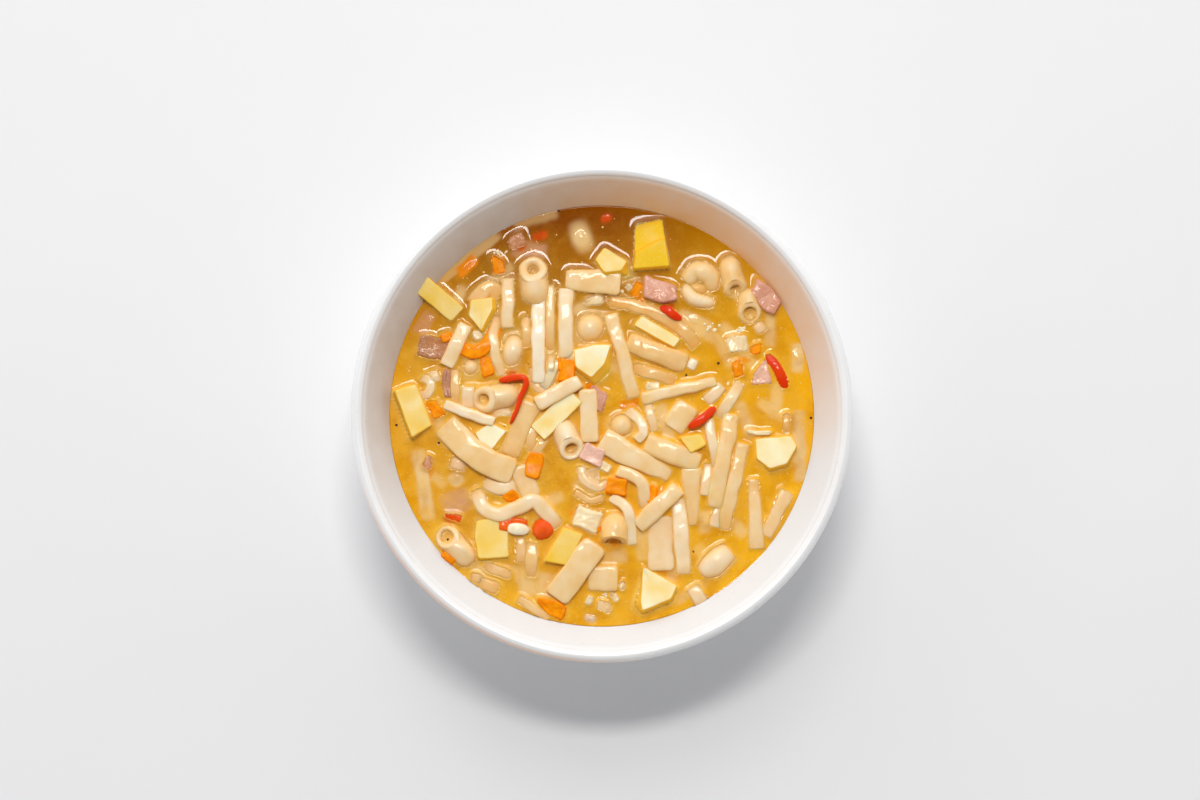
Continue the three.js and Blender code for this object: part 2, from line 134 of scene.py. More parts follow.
# Potato pieces: corners at the foot, corners of the face that shows where it is smaller, depth
# over which the sides slope from face to foot, height of the face over the broth, thickness,
# degrees that the face leans east and north, and tone, from 0 for cream to 1 for deep yellow
POTATOES = [
    dict(top=2.2, thick=5, lean=(5, -8), tone=0.6,
         corners=[(-58.3, 46), (-61.7, 40.3), (-50, 30.6), (-45.7, 35.3)]),
    dict(top=2.4, thick=8, lean=(-9, 4), tone=0.45, slope=4,
         corners=[(-44, 38.3), (-35.3, 39.3), (-34.7, 35), (-39.7, 26.5), (-44.7, 33)],
         face=[(-43.8, 38), (-36.3, 39), (-36.2, 35), (-39.8, 27.2), (-44.4, 33)]),
    dict(top=2.6, thick=9, lean=(2, 10), tone=0.5, slope=5,
         corners=[(-3, 51.7), (0.6, 56.8), (10, 52.6), (12, 46), (2, 44.4)],
         face=[(-2.3, 51.7), (0.8, 56), (8.6, 51), (6.5, 47.6), (1, 47)]),
    dict(top=3.2, thick=8, lean=(-3, 0), tone=1, slope=2.6,
         corners=[(11, 64), (20, 65.5), (22.7, 48.7), (10, 47.7)],
         face=[(11.2, 53.6), (21, 58.8), (22.5, 49.2), (10.6, 48.3)]),
    dict(top=3, thick=9, lean=(-4, 3), tone=0.15, slope=3.4,
         corners=[(-9.5, 21.5), (-2.7, 23.5), (3.9, 23.4), (2.9, 14.4), (-2.4, 9), (-9.3, 14.6)],
         face=[(-9.4, 21.2), (-2.7, 23), (3.2, 22.8), (0.8, 16), (-3.4, 11.6), (-8.8, 15.4)]),
    dict(top=1.8, thick=5, lean=(0, 5), tone=0.25, slope=2,
         corners=[(10, 29.2), (13.3, 33.3), (26.7, 24.9), (24.7, 20.5)],
         face=[(10.4, 29.6), (13.5, 32.9), (26.2, 25), (24, 21.8)]),
    dict(top=3, thick=9, lean=(14, 4), tone=0.5,
         corners=[(-68.6, 7.5), (-61.3, 9.9), (-56, -4), (-62.7, -8.4)]),
    dict(top=1.6, thick=8, lean=(0, 5), tone=0.05, slope=3,
         corners=[(-42.3, -6), (-36.7, -2.7), (-30, -6), (-31.3, -12.1), (-38, -14.1)],
         face=[(-42, -6.3), (-36.7, -3), (-31.3, -5.6), (-35.7, -11.6), (-38.6, -13.3)]),
    dict(top=1.7, thick=6, lean=(-8, 6), tone=0.3, slope=2,
         corners=[(-11, 8.4), (-6.3, 3.7), (-19, -9.1), (-23.7, -4)]),
    dict(top=2.1, thick=6, lean=(0, 5), tone=0.7,
         corners=[(25.6, -7.8), (32.7, -6.7), (34.7, -10.4), (29.3, -13.4)]),
    dict(top=2.2, thick=9, lean=(-3, 6), tone=0.3, slope=4.5,
         corners=[(50.3, -8.4), (62.7, -7.1), (64.7, -11.4), (61.3, -18.1), (55.3, -19.8), (50.7, -15.5)],
         face=[(50.6, -8.3), (62.6, -7.3), (64.4, -11), (61, -17), (55.4, -18.6), (51, -15)]),
    dict(top=1.4, thick=8, lean=(3, 4), tone=0.6, slope=3,
         corners=[(-41.6, -34), (-35, -32.6), (-30.2, -37), (-30, -48), (-41, -48.8), (-42.2, -41)],
         face=[(-41.3, -35.5), (-35.5, -34.5), (-30.8, -38.5), (-30.5, -47.6),
               (-40.6, -48.2), (-41.8, -41)]),
    dict(top=1.9, thick=8, lean=(4, 3), tone=0.8,
         corners=[(-12.6, -37.8), (-6, -40), (-11.3, -50.4), (-19, -48.9)]),
    dict(top=2.4, thick=8, lean=(-4, 8), tone=0.2, slope=4,
         corners=[(13, -49.4), (25.3, -56.8), (23, -62.2), (12.7, -66.5), (8.7, -63.5)],
         face=[(13.4, -50.4), (24.8, -57), (22.6, -61.4), (13.2, -65.4), (12.6, -62)]),
]

# Diced pieces: middle, width and depth, turn in degrees, height over the broth and thickness.
# Tone goes from 0 for pale to 1 for deep, and corners take the place of the first three.
HAM = table_of("at size turn top thick tone", [
    dict(corners=[(14, 47.4), (24.9, 42.9), (25.6, 38.3), (20.4, 37.4), (12.8, 39)],
         top=2.2, thick=6, tone=0.4, lean=(0, 5)),
    dict(corners=[(49, 41), (51.6, 45.6), (55.6, 43), (60, 37.4), (57.6, 33.6), (53.4, 35)],
         top=1.5, thick=5, tone=0.55, lean=(-3, 3)),
    ((-56.3, 22.2), (10.4, 7.2), -14, 0.7, 5, 1),
    ((-3.2, -13.4), (8, 6), -24, 2, 6, 0.05),
    dict(corners=[(49.3, 9.4), (50.2, 13.8), (54.8, 17.8), (57, 10.3)], top=0.8, thick=5, tone=0.05),
    ((-51.3, 9.9), (2.8, 9), 4, 0.9, 5, 0.8),
    ((-1.6, 4.4), (6.6, 7.6), -18, 1, 5, 0.5),
    ((-28.3, 58), (5.2, 4.4), 20, 0.5, 4, 0.7),
])
HAM_BITS = table_of("at size turn top thick tone", [
    ((-47.7, -29.2), (9, 7.4), 20, -0.6, 3, 1),
    ((-57.3, -16.6), (4.4, 3.4), 60, 0.3, 2, 0.3),
    ((-24, 55), (11, 5), -6, -0.7, 3, 0.8),
    ((-59, 30.5), (5, 7), -28, -0.3, 3, 0.4),
])

# The first piece of carrot is a curved strip
CARROT_STRIP = dict(
    path=[(-35.3, 29), (-37.7, 23.4), (-42, 20.4), (-46, 22)],
    wide=4.4, tops=[0.3, 1.3, 1.6, 1.2])
CARROTS = table_of("at size turn top thick", [
    ((-38.3, 15.5), (4, 6.6), 10, 1.2, 4),
    ((-11.4, 14.4), (5, 8), -14, 1.6, 5),
    ((-55.2, 1.4), (4, 7), 24, 0.8, 5),
    ((-30.3, -27.2), (4.4, 3.8), 30, 1.2, 4),
    ((-22.3, -17.5), (5, 7.6), -12, 1.4, 5),
    ((4.7, -24.4), (6.4, 5.6), -10, 2.2, 6),
    ((16.3, -26.9), (3.6, 6.4), -6, 1, 4),
    dict(corners=[(-21.2, -61.8), (-19.4, -60.2), (-12.4, -63.2), (-11, -66.2),
                  (-13.2, -68), (-17.8, -66.8)],
         top=1.2, thick=6),
    ((-50, -47), (3.8, 4.8), 45, 1, 4),
    ((51.3, 21.5), (4, 4), 15, 0.6, 4),
    ((45, 14.8), (3.4, 5.6), 10, 0.4, 4),
])
CARROT_BITS = table_of("at size turn top thick", [
    ((-51.4, 25.6), (3.8, 2.8), 20, 0.9, 2),
    ((11.8, 41.6), (3, 5.4), -20, 0.4, 2),
    ((5.3, -42), (5, 3.6), 5, 0.2, 2),
    ((-1.7, -38.3), (2.8, 2.8), 40, 0.6, 2),
    ((-13.2, 17), (2.6, 5.4), 5, 0.8, 2),
    ((-45, 49.6), (8.4, 4.4), 40, -0.05, 3),
    ((-34.7, 50.2), (4, 6.6), 6, 0.15, 3),
    ((-58, -19.5), (5, 4), 70, -0.6, 2),
    ((9, 3.4), (7, 3), 10, 0, 2),
    ((48, 18.6), (7, 3), 30, -0.5, 2),
    ((-31, 20), (3, 6), -20, -0.2, 2),
    ((-12, -1), (3, 5), 30, -0.4, 2),
    ((13, 7.4), (5, 2.4), -15, -0.2, 2),
    ((-3, 9.4), (5, 2.6), 12, -0.3, 2),
    ((18.6, -27), (3, 5), -10, -0.3, 2),
    ((-24, -24), (4, 3), 25, -0.5, 2),
    ((-57, -2), (4, 3), 50, -0.4, 2),
    ((12.6, 39), (5, 2.6), -25, -0.2, 2),
    ((-49.6, 22), (4, 3), 15, -0.2, 2),
    ((-9, -33), (4, 2.4), -20, -0.5, 2),
])

# Strips of tomato skin have the same values as pasta below
TOMATO_SKINS = table_of("path wide tops tone", [
    ([(-34, 11.2), (-25.5, 11.5), (-27.2, 4), (-30.2, -3.4)],
     2.1, [2.2, 3, 2.4, 1.7], 0.75, dict(far=1.3)),
    ([(19.3, 35.6), (26.6, 31.8)], 3, [1.4, 2.3, 1.4], 0.9),
    ([(37.7, 2), (33.4, -1.8), (28.7, -4.7)], 2.8, [1.4, 2.6, 2.2], 0.8),
    ([(54.7, 20), (58.4, 15), (61, 8.4)], 3.3, [0.2, 1, 0.4], 0.8),
])
TOMATO_BALL = dict(at=(-19.6, -38.3), radius=3.7, top=2.8)
TOMATO_PULP = dict(at=(-29.3, -36.8), size=(10, 5), turn=-6, top=1, thick=4)
TOMATO_BITS = table_of("at size turn top thick", [
    ((-20.7, 60), (4.2, 2.8), 0, -0.1, 2),
    ((-49, -34.6), (5.4, 2.8), -10, -0.1, 2),
    ((1.7, 65.8), (3, 1.8), 10, -0.2, 2),
    ((-27, 56), (2.6, 2.2), 30, 0, 2),
    ((-18.5, 10), (5.4, 2.4), 20, 0.2, 2),
    ((-36, -33), (3, 4), 30, 0, 2),
    ((-31, 13.4), (6, 2), 4, -0.1, 2),
    ((21, 37), (6, 2.2), -28, -0.2, 2),
    ((-40, -31), (4, 2.4), 12, -0.3, 2),
    ((31, -2.4), (5, 2), 40, -0.2, 2),
])

ONION = dict(at=(-5, -35), size=(9, 7.4), turn=-20, top=1.3, thick=3.4)
ONION_BITS = table_of("at size turn top thick", [
    ((-33.3, 0.7), (5.4, 3.4), 5, 0.5, 2),
    ((-3.3, -21.5), (5, 6.4), 10, 0.5, 2),
    ((1, -17.4), (4, 3), -30, 0.7, 2),
    ((45, 22.9), (7, 5.2), 8, 0.8, 3),
    ((16.7, 9.4), (4.6, 2.8), 0, 0.6, 2),
    ((-41.3, 26.2), (3, 3.4), 20, 0.8, 2),
    ((-4.3, -61.8), (3.2, 2.2), 60, 0.8, 2),
    ((0.6, -64), (4.4, 3), -10, 0.6, 2),
    ((4, -60.6), (3.6, 2), -30, 0.6, 2),
    ((6.9, -56.8), (2.2, 3), 10, 0.5, 2),
    ((-3.6, -67.4), (3.4, 2), 5, 0.3, 2),
    ((9.2, 42.5), (2.4, 2.4), 30, 0.6, 2),
    ((52, -6.4), (8, 1.3), -6, 1.6, 2),
    ((-3, 38), (6, 2.6), 4, 0.4, 2),
])

# Almond-shaped seed on the tomato pulp, specks of pepper and small heaps of foam
SEED = dict(path=[(-31.4, -37.9), (-23.9, -38.7)], wide=4, tops=[1.9, 2.6, 1.9])
PEPPER = [
    (-14.3, 68.6), (-57.7, 19.8), (-59.3, 11), (-69, 6), (-68, -3.7), (-53.9, -9.6), (-59, -16.5),
    (-39.3, -38.6), (-50.7, -41.7), (-32.3, -4.4), (-28.7, -11.8), (-19.3, -4.4), (-8, -20.8),
    (-20.7, -25.9), (-18, 33.6), (-24, 16.8), (17.7, 12.8), (28, 13), (8, -0.7), (19, -37),
    (30, -45.7), (38.7, 17), (69.3, -1.3), (35.7, -20),
]
FOAM = [
    (-28.4, 58.6), (46.3, 28.4), (48.3, 31), (38.6, 47.4), (9.3, 42.6), (-34.4, 53.6), (1, -60.4),
    (36.5, 28.6),
]

# Pasta: path, width (and width at the far end), heights over the broth along the path, and
# tone, from 0 for pale to 1 for soaked golden
RIBBONS = table_of("path wide tops tone", [
    ([(-52, -3.6), (-44.7, -11), (-36.7, -16.7), (-29.3, -19.8)], 8.8, [1, 2.4, 2.6, 1.8], 0.5),
    ([(-2, -43.3), (-8.6, -52.2), (-15, -61)], 8.8, [2.6, 2.8, 1.8], 0.45),
    ([(0, -8.6), (11, -14.8), (22.5, -20.6)], 9, [1.8, 1.9, 0.9], 0.4, dict(far=4.7)),
    ([(6.2, 43.8), (-12, 45)], 8.6, [1.9, 1.2], 0.5, dict(far=6.6)),
    ([(8.7, 24.2), (18.4, 20.2), (28, 16.7)], 6.9, [1.6, 2.6, 1.8], 0.6, dict(high=3.6, corner=3)),
    ([(28.7, 3), (23.4, -5)], 8, [1.4, 1.3], 0.45),
    ([(-4.7, 8), (-4, -9.5)], 6, [2.3, 1.7], 0.4),
    ([(29.3, -18.1), (30, -37)], 7, [1.4, 0.8], 0.5, dict(far=3)),
    ([(-4.5, -54.6), (5.2, -54.6)], 8.8, [1.2, 1.5], 0.5),
    ([(19.3, -34), (19.5, -52)], 8.8, [0.8, 1.2], 0.3),
    ([(-23, 3.7), (-30.8, -13.8)], 6.5, [1.3, 0.9], 0.6),
    ([(-7.3, 10.8), (-21.7, 3)], 5.2, [3, 2.6], 0.3, dict(high=2.4)),
    ([(-28, -17.5), (-22.8, -28.2)], 6.3, [0.9, 1], 0.45),
    ([(-41.7, -25.5), (-39, -31), (-34, -33.6), (-28, -31.6), (-22.7, -29.2),
      (-18.6, -32.4), (-14.3, -37.4)],
     5, [0.4, 1.4, 2, 2.2, 2.5, 1.8, 0.4], 0.3, dict(high=2.8)),
    ([(-27, -55.5), (-14.6, -56.5)], 7.4, [-0.5, -0.6], 0.6),
    ([(-27, -49.5), (-25, -56)], 6, [-0.7, -0.9], 0.7),
])
STRANDS = table_of("path wide tops tone", [
    ([(-45, 29.6), (-51.7, 16.1)], 5, [1.4, 2.2, 1.4], 0.35),
    ([(-31.3, 45.4), (-31.3, 28.9)], 4.4, [0.6, 1.6, 1], 0.35),
    ([(-12, 42), (-12, 18.8)], 5, [1, 2, 0.8], 0.25),
    ([(-17.3, 43), (-17.3, 17.1)], 3.4, [0.6, 1.2, -0.6], 0.5),
    ([(-21, 38.6), (-21, 10.4)], 4.7, [1.2, 2.4, 1], 0.05),
    ([(-34.3, 36), (-36, 23.9), (-33.3, 12.8)], 3.4, [-0.6, 1.4, 0.6], 0.4),
    ([(-52, 3), (-35.7, -3)], 3.4, [1.4, 2.2, 2], 0.2),
    ([(3, 33.3), (10.7, 5.4)], 4.7, [1.4, 2, 0.8], 0.45),
    ([(2.7, 38), (16, 34.4), (26.6, 28.2), (31.4, 22.6)], 4.4, [0.2, 1, 0.9, 0.3], 0.7),
    ([(9.3, 15.5), (24.3, 11.1)], 4, [0, 1.2, 0.6], 0.7),
    ([(13.3, 5), (37.7, 10.8)], 4.4, [1, 1.9, 1.2], 0.4, dict(far=3.4)),
    ([(46, 10.4), (39, -1.3)], 4, [0.6, 1.4, 0.4], 0.4),
    ([(14.7, -9.7), (32, -16.5)], 6.7, [1.4, 2.6, 1.2], 0.5),
    ([(35.3, -1.7), (38.3, -19.8)], 3.4, [1, 1.4, 0], 0.3),
    ([(43, -0.3), (37, -31)], 5.4, [1.2, 2.2, 1], 0.5),
    ([(46.7, -10), (40, -38.3)], 4.7, [1, 1.6, 0.4], 0.5),
    ([(50, -22), (51, -44.7)], 3.6, [0.6, 1.2, 0.9], 0.4, dict(far=5.4)),
    ([(61.3, -26), (53.8, -40.5)], 4.7, [0.7, 1, 0.7], 0.35),
    ([(5.3, -18.8), (12.7, -22.6), (14.3, -31)], 4, [1.8, 2.4, 0.6], 0.4),
    ([(3.3, -27.6), (8.7, -32.3), (10, -43.3)], 3.6, [1.4, 2.6, 0.8], 0.25),
    ([(25.3, -24.9), (11.7, -37.3)], 5.7, [2.4, 3, 2], 0.4),
    ([(25, -28.2), (27, -53)], 5, [0.8, 1.8, 0.8], 0.3),
    ([(-60.7, -12), (-57, -35)], 4.4, [-0.4, 0.2, -0.4], 0.9),
    ([(-23, -43), (-23.4, -54)], 4, [0.2, 1, 0], 0.5),
    ([(8.4, 1), (12.4, -2.4), (13.7, -6.4), (11.6, -9)], 3.3, [0.6, 1.6, 1.9, 1.4], 0.25),
    ([(-54.6, 44.3), (-34.4, 60.4)], 3.4, [-1.4, -1.2, -1.3], 0.4),
    ([(-15, 67.8), (-29, 63.6)], 3.2, [-1.5, -1.6, -1.8], 0.4),
    ([(-27.3, -61.2), (-17.3, -67.5)], 2.7, [0.4, 0.8, 0.4], 0.4),
    ([(-25, 32.3), (-25, 22.5)], 3, [0.3, 1, 0.2], 0.5),
    ([(-16.7, 19.5), (-16.9, 10.4)], 3, [0.4, 1.1, 0.2], 0.4),
    ([(-48.7, 14.8), (-48.7, 3)], 3.3, [0.2, 0.8, 0.2], 0.5),
    ([(61, 0), (61, -6.4)], 2.7, [0, 0.5, 0], 0.6),
    ([(65, 1), (65.7, -22.2)], 4, [-0.6, 0, -0.4], 0.7),
    ([(56, 33.6), (56, 22.8)], 3, [-0.5, -0.1, -0.4], 0.7),
    ([(65, 23.5), (65, 14.1)], 3.7, [-0.4, 0.2, -0.4], 0.7),
    ([(-23.3, -1.7), (-23.3, -12.4)], 3.3, [0, 0.8, 0.2], 0.5),
    ([(-18, -6.7), (-22.3, -14.4)], 3, [0.2, 0.9, 0.2], 0.5),
    ([(14.7, 5), (17.4, -5.8)], 3.2, [0, 0.9, 0.6], 0.3),
    ([(35.7, -16.8), (34, -27.2)], 4.4, [0.2, 0.9, 0.9], 0.25),
    ([(-26.7, -41), (-26.7, -49.4)], 3.5, [0.2, 0.6, 0.3], 0.4),
    ([(-38.7, -50.4), (-30, -53.4)], 3.4, [0, 0.7, 0.2], 0.35),
    ([(26, 33.9), (36.7, 28.9)], 3.3, [-0.4, 0.1, -0.5], 0.7),
    ([(-23, 15.5), (-21.4, 8.9), (-18, 10), (-15, 18)], 3.6, [0.2, 0.7, 0.8, 0.5], 0.35),
    ([(-43, 37), (-38, 42.2), (-34, 40)], 5.4, [0.4, 0.9, 0.4], 0.5),
    ([(-44.3, 9), (-44.3, 2)], 5, [0.7, 0.8, 0.5], 0.2),
    ([(-59.3, 12.4), (-57, 10), (-57.9, 6.7), (-60.2, 6)], 3.2, [0.6, 1.1, 0.9, 0.2], 0.2),
    ([(-56, 14.2), (-54.6, 10.8)], 3, [0.5, 0.8, 0.5], 0.15),
    ([(-38.8, -22.8), (-34, -24.8), (-28.6, -23.9)], 4.6, [0.4, 1.2, 0.7], 0.3),
    ([(-40.7, -56), (-34, -58)], 4.8, [0.1, 0.5, 0.2], 0.45),
    ([(34.7, 4), (40, 9.4)], 4, [0.5, 1, 0.8], 0.25),
    ([(38.7, -31), (37, -37.6)], 4.2, [0.2, 0.6, 0.7], 0.1),
    ([(33.4, -32.3), (33.8, -39.4)], 3.6, [-0.6, -0.3, -0.6], 0.9),
    ([(29.6, -57.6), (32.7, -62.6)], 5, [0.6, 0.9, 0.6], 0.2),
    ([(51.3, 27.9), (54, 30)], 3.9, [0.2, 0.6, 0.3], 0.2),
    ([(28.8, 17.2), (31.2, 16)], 3.8, [1.2, 1.3, 1], 0.1),
    ([(13, -36.6), (13.7, -48.4)], 4, [-0.6, -0.3, -0.6], 0.8),
    ([(57, -1.6), (58.3, 10)], 4, [-0.9, -0.6, -1], 0.8),
    ([(25.7, 30.7), (38, 25.4)], 4, [-0.6, -0.2, -0.8], 0.6),
    ([(-12, 21), (-5.4, 16.6)], 3.6, [0.4, 0.9, 0.3], 0.4),
    ([(-50, -16), (-45, -17.7)], 4.2, [0.1, 0.5, 0.1], 0.15),
    ([(-49.6, -20), (-47, -23)], 4.4, [0, 0.3, -0.1], 0.2),
    ([(-43, -54), (-38.7, -55)], 3.4, [0, 0.3, 0], 0.3),
    ([(22, -57), (24.4, -50)], 3.6, [-0.8, -0.4, -0.6], 0.7),
    ([(-9, -23), (-2, -27)], 4, [-0.4, -0.1, -0.5], 0.8),
    ([(-16, -2), (-12.5, -7.4)], 3.2, [0, 0.5, 0], 0.5),
    ([(19, 3), (22.4, -8)], 4, [-0.3, 0, -0.3], 0.7),
    ([(-6.5, -17.5), (-5.8, -22), (-1.5, -24.7), (2, -23)], 3.2, [0.5, 0.9, 0.8, 0.4], 0.2),
    ([(-9, -26), (-4, -28.6), (0.6, -27.8)], 2.6, [0.2, 0.5, 0.3], 0.5),
    ([(-14.6, 17.6), (-17.4, 12.4), (-19.4, 8.6)], 3.4, [0.7, 1.2, 0.8], 0.3),
    ([(45.5, 4), (49.6, -8)], 3.6, [-0.6, -0.3, -0.6], 0.5),
    ([(-14, 33), (-4.6, 36.4)], 3.4, [-0.4, 0, -0.4], 0.5),
    ([(17, -3), (25, -0.6)], 3.6, [-0.2, 0.1, -0.3], 0.4),
    ([(-33.5, -14), (-27.8, -24)], 3.6, [-0.5, -0.1, -0.4], 0.5),
    ([(-55, -1), (-50, -11)], 3.4, [-0.6, -0.3, -0.6], 0.6),
    ([(43, 25), (51, 16)], 3.6, [-0.8, -0.5, -0.8], 0.5),
    ([(38, 26.5), (43.4, 16)], 3.8, [-1, -0.7, -1], 0.6),
    ([(42, -35), (47.5, -40)], 3.4, [-0.7, -0.4, -0.7], 0.4),
    ([(0, -48.5), (8, -47)], 4.4, [-0.5, -0.2, -0.5], 0.4),
    ([(-49.4, 33.4), (-46.4, 43)], 3.4, [-0.9, -0.6, -0.9], 0.6),
    ([(-22, -31), (-13, -27)], 3.4, [-1, -0.7, -1], 0.6),
    ([(-45, -47), (-38, -55)], 3.4, [-0.9, -0.5, -0.9], 0.6),
    ([(31, -44), (40, -54)], 3.6, [-1.2, -0.8, -1.2], 0.6),
    ([(52, 4), (62, -3)], 3.4, [-1.2, -0.9, -1.3], 0.6),
    ([(-62, -14), (-52, -24)], 3.4, [-1.2, -0.9, -1.2], 0.6),
    ([(40, 30), (48, 22)], 3.4, [-1, -0.6, -1], 0.6),
    ([(-38, 44), (-30, 50)], 3.2, [-1.2, -0.8, -1.2], 0.6),
    ([(24, -62), (34, -56)], 3.2, [-1.3, -0.9, -1.3], 0.6),
    ([(-30, 4), (-27, -8)], 3.6, [-0.8, -0.4, -0.8], 0.6),
    ([(1, 18), (8, 14)], 3.4, [-0.6, -0.2, -0.6], 0.5),
    ([(31, 0), (38, -8)], 3.4, [-0.8, -0.4, -0.8], 0.5),
])

# Short round-backed pieces: the outer bend of an elbow that lies mouth down
BENDS = table_of("path wide tops tone", [
    ([(-7.7, 25.6), (0.3, 32.2)], 9.5, [-2.2, 2.4, -2.2], 0.4),
    ([(-28.7, 27.6), (-30.6, 14.4)], 7.6, [-1.6, 2, -1.6], 0.3),
    ([(2.6, -3), (10.6, -5)], 8.2, [-2.2, 1.8, -2.2], 0.5),
    ([(-43.7, 12.4), (-43.4, 19)], 5.6, [-1.6, 1.2, -1.6], 0.4),
    ([(-8.6, 64), (-5.2, 55.4)], 7, [-1.6, 0.3, -1.6], 0.5),
    ([(33, -52.4), (37, -49.6), (42, -45.6)], 8.2, [0.9, 2, 1.3], 0.25, dict(far=9.6)),
    ([(27.4, 42.6), (30.7, 38.6), (37.2, 37)], 4.8, [0.8, 1.9, 0.6], 0.3),
    ([(28.4, 44.6), (31.4, 48), (35.8, 46.4), (37.2, 42)], 7, [0.9, 1.9, 2, 0.5], 0.4),
    ([(28, 42), (35.6, 42)], 5, [0, 0.6, 0], 0.7),
])

# Elbows: middle of the mouth, direction in which the tube lies away from it, width, bore,
# height of the mouth, how steeply it looks up, and length of the lying part
ELBOWS = table_of("mouth heading wide bore lift pitch reach tone", [
    ((-23, 48.6), -84, 9.8, 3.8, 2.3, 74, 2.6, 0.35),
    ((-39.4, 4.6), 12, 9, 3.8, 1.9, 72, 3.6, 0.35),
    ((44.6, 41.4), 104, 7.8, 3, 1.3, 58, 4.2, 0.45),
    ((49.2, 33.4), 95, 8, 4.2, 1.3, 74, 0.5, 0.45),
    ((-10, -12), 112, 8.4, 4, 2.1, 72, 2.4, 0.2),
    ((-51, -40.8), -46, 8.2, 4, 1.6, 74, 4.6, 0.35),
    ((4, -42.8), 86, 8.8, 4.6, 1, 24, 3, 0.5),
])


def innerwall_height(radius):
    return FLOOR_HEIGHT + (INNER_RIM_HEIGHT - FLOOR_HEIGHT) * (radius / INNER_RIM_RADIUS) ** INNER_WALL_POWER


def outerwall_height(radius):
    rise = RIM_HEIGHT - LIP_RADIUS - OUTER_START_HEIGHT
    return OUTER_START_HEIGHT + rise * (radius / RIM_RADIUS) ** OUTER_WALL_POWER


def innerwall_radius(height):
    share = (height - FLOOR_HEIGHT) / (INNER_RIM_HEIGHT - FLOOR_HEIGHT)
    return INNER_RIM_RADIUS * share ** (1 / INNER_WALL_POWER)


def linear(hex_colour):
    """Linear RGBA of an sRGB hex colour."""
    channels = [int(hex_colour[i:i + 2], 16) / 255 for i in (1, 3, 5)]
    return (*[c / 12.92 if c <= 0.04045 else ((c + 0.055) / 1.055) ** 2.4 for c in channels], 1.0)


def waves(points, length, seed, rows=8):
    """Smooth uneven heights, mostly -1 to 1, with bumps about a length apart."""
    chance = np.random.default_rng(seed)
    direction = chance.normal(size=(rows, 3))
    direction /= np.linalg.norm(direction, axis=1, keepdims=True)
    direction *= 2 * math.pi / length * chance.uniform(0.6, 1.5, (rows, 1))
    phase = chance.uniform(0, 2 * math.pi, rows)
    return np.sin(np.asarray(points) @ direction.T + phase).sum(axis=-1) / math.sqrt(rows)


def roughened(points, length, height, seed):
    """Points moved a little in each direction by smooth waves."""
    shifts = [waves(points, length, seed + axis) for axis in range(3)]
    return points + height * np.stack(shifts, axis=-1)


# Shapes: each is its points and faces

def loft(rings):
    """Closed skin over rings of points, with a fan over each end."""
    count, sides = rings.shape[:2]
    points = np.vstack([rings.reshape(-1, 3), rings[0].mean(axis=0), rings[-1].mean(axis=0)])
    near = np.arange(sides)
    ahead = np.roll(near, -1)
    faces = []
    for row in range(count - 1):
        low, high = row * sides, (row + 1) * sides
        faces += np.column_stack([low + near, low + ahead, high + ahead, high + near]).tolist()
    first, last = count * sides, count * sides + 1
    faces += [[first, b, a] for a, b in zip(near.tolist(), ahead.tolist())]
    top = (count - 1) * sides
    faces += [[last, top + a, top + b] for a, b in zip(near.tolist(), ahead.tolist())]
    return points, faces


def together(shapes):
    """One shape of several, and for each point the index of the shape it comes from."""
    points, faces, owners = [], [], []
    offset = 0
    for index, (places, polygons) in enumerate(shapes):
        points.append(places)
        faces += [[corner + offset for corner in polygon] for polygon in polygons]
        owners.append(np.full(len(places), index))
        offset += len(places)
    return np.vstack(points), faces, np.concatenate(owners)


def route_through(knots, count=24):
    """Close points on a smooth curve through knots, and their distance along it."""
    knots = np.array(knots, dtype=float)
    ends = np.vstack([2 * knots[0] - knots[1], knots, 2 * knots[-1] - knots[-2]])
    t = np.linspace(0, 1, count, endpoint=False)[:, None]
    stretches = []
    for a, b, c, d in zip(ends, ends[1:], ends[2:], ends[3:]):
        bent = 2 * a - 5 * b + 4 * c - d + t * (3 * b - 3 * c + d - a)
        stretches.append(b + 0.5 * t * (c - a + t * bent))
    route = np.vstack(stretches + [knots[-1:]])
    steps = np.linalg.norm(np.diff(route, axis=0), axis=1)
    return route, np.concatenate([[0], np.cumsum(steps)])


def section(sides, corner):
    """Cross section one unit wide and high: corner 2 is round, and more is squarer."""
    angle = np.linspace(0, 2 * math.pi, sides, endpoint=False)
    sides_way = np.sign(np.cos(angle)) * np.abs(np.cos(angle)) ** (2 / corner)
    up_way = np.sign(np.sin(angle)) * np.abs(np.sin(angle)) ** (2 / corner)
    return 0.5 * np.column_stack([sides_way, up_way])


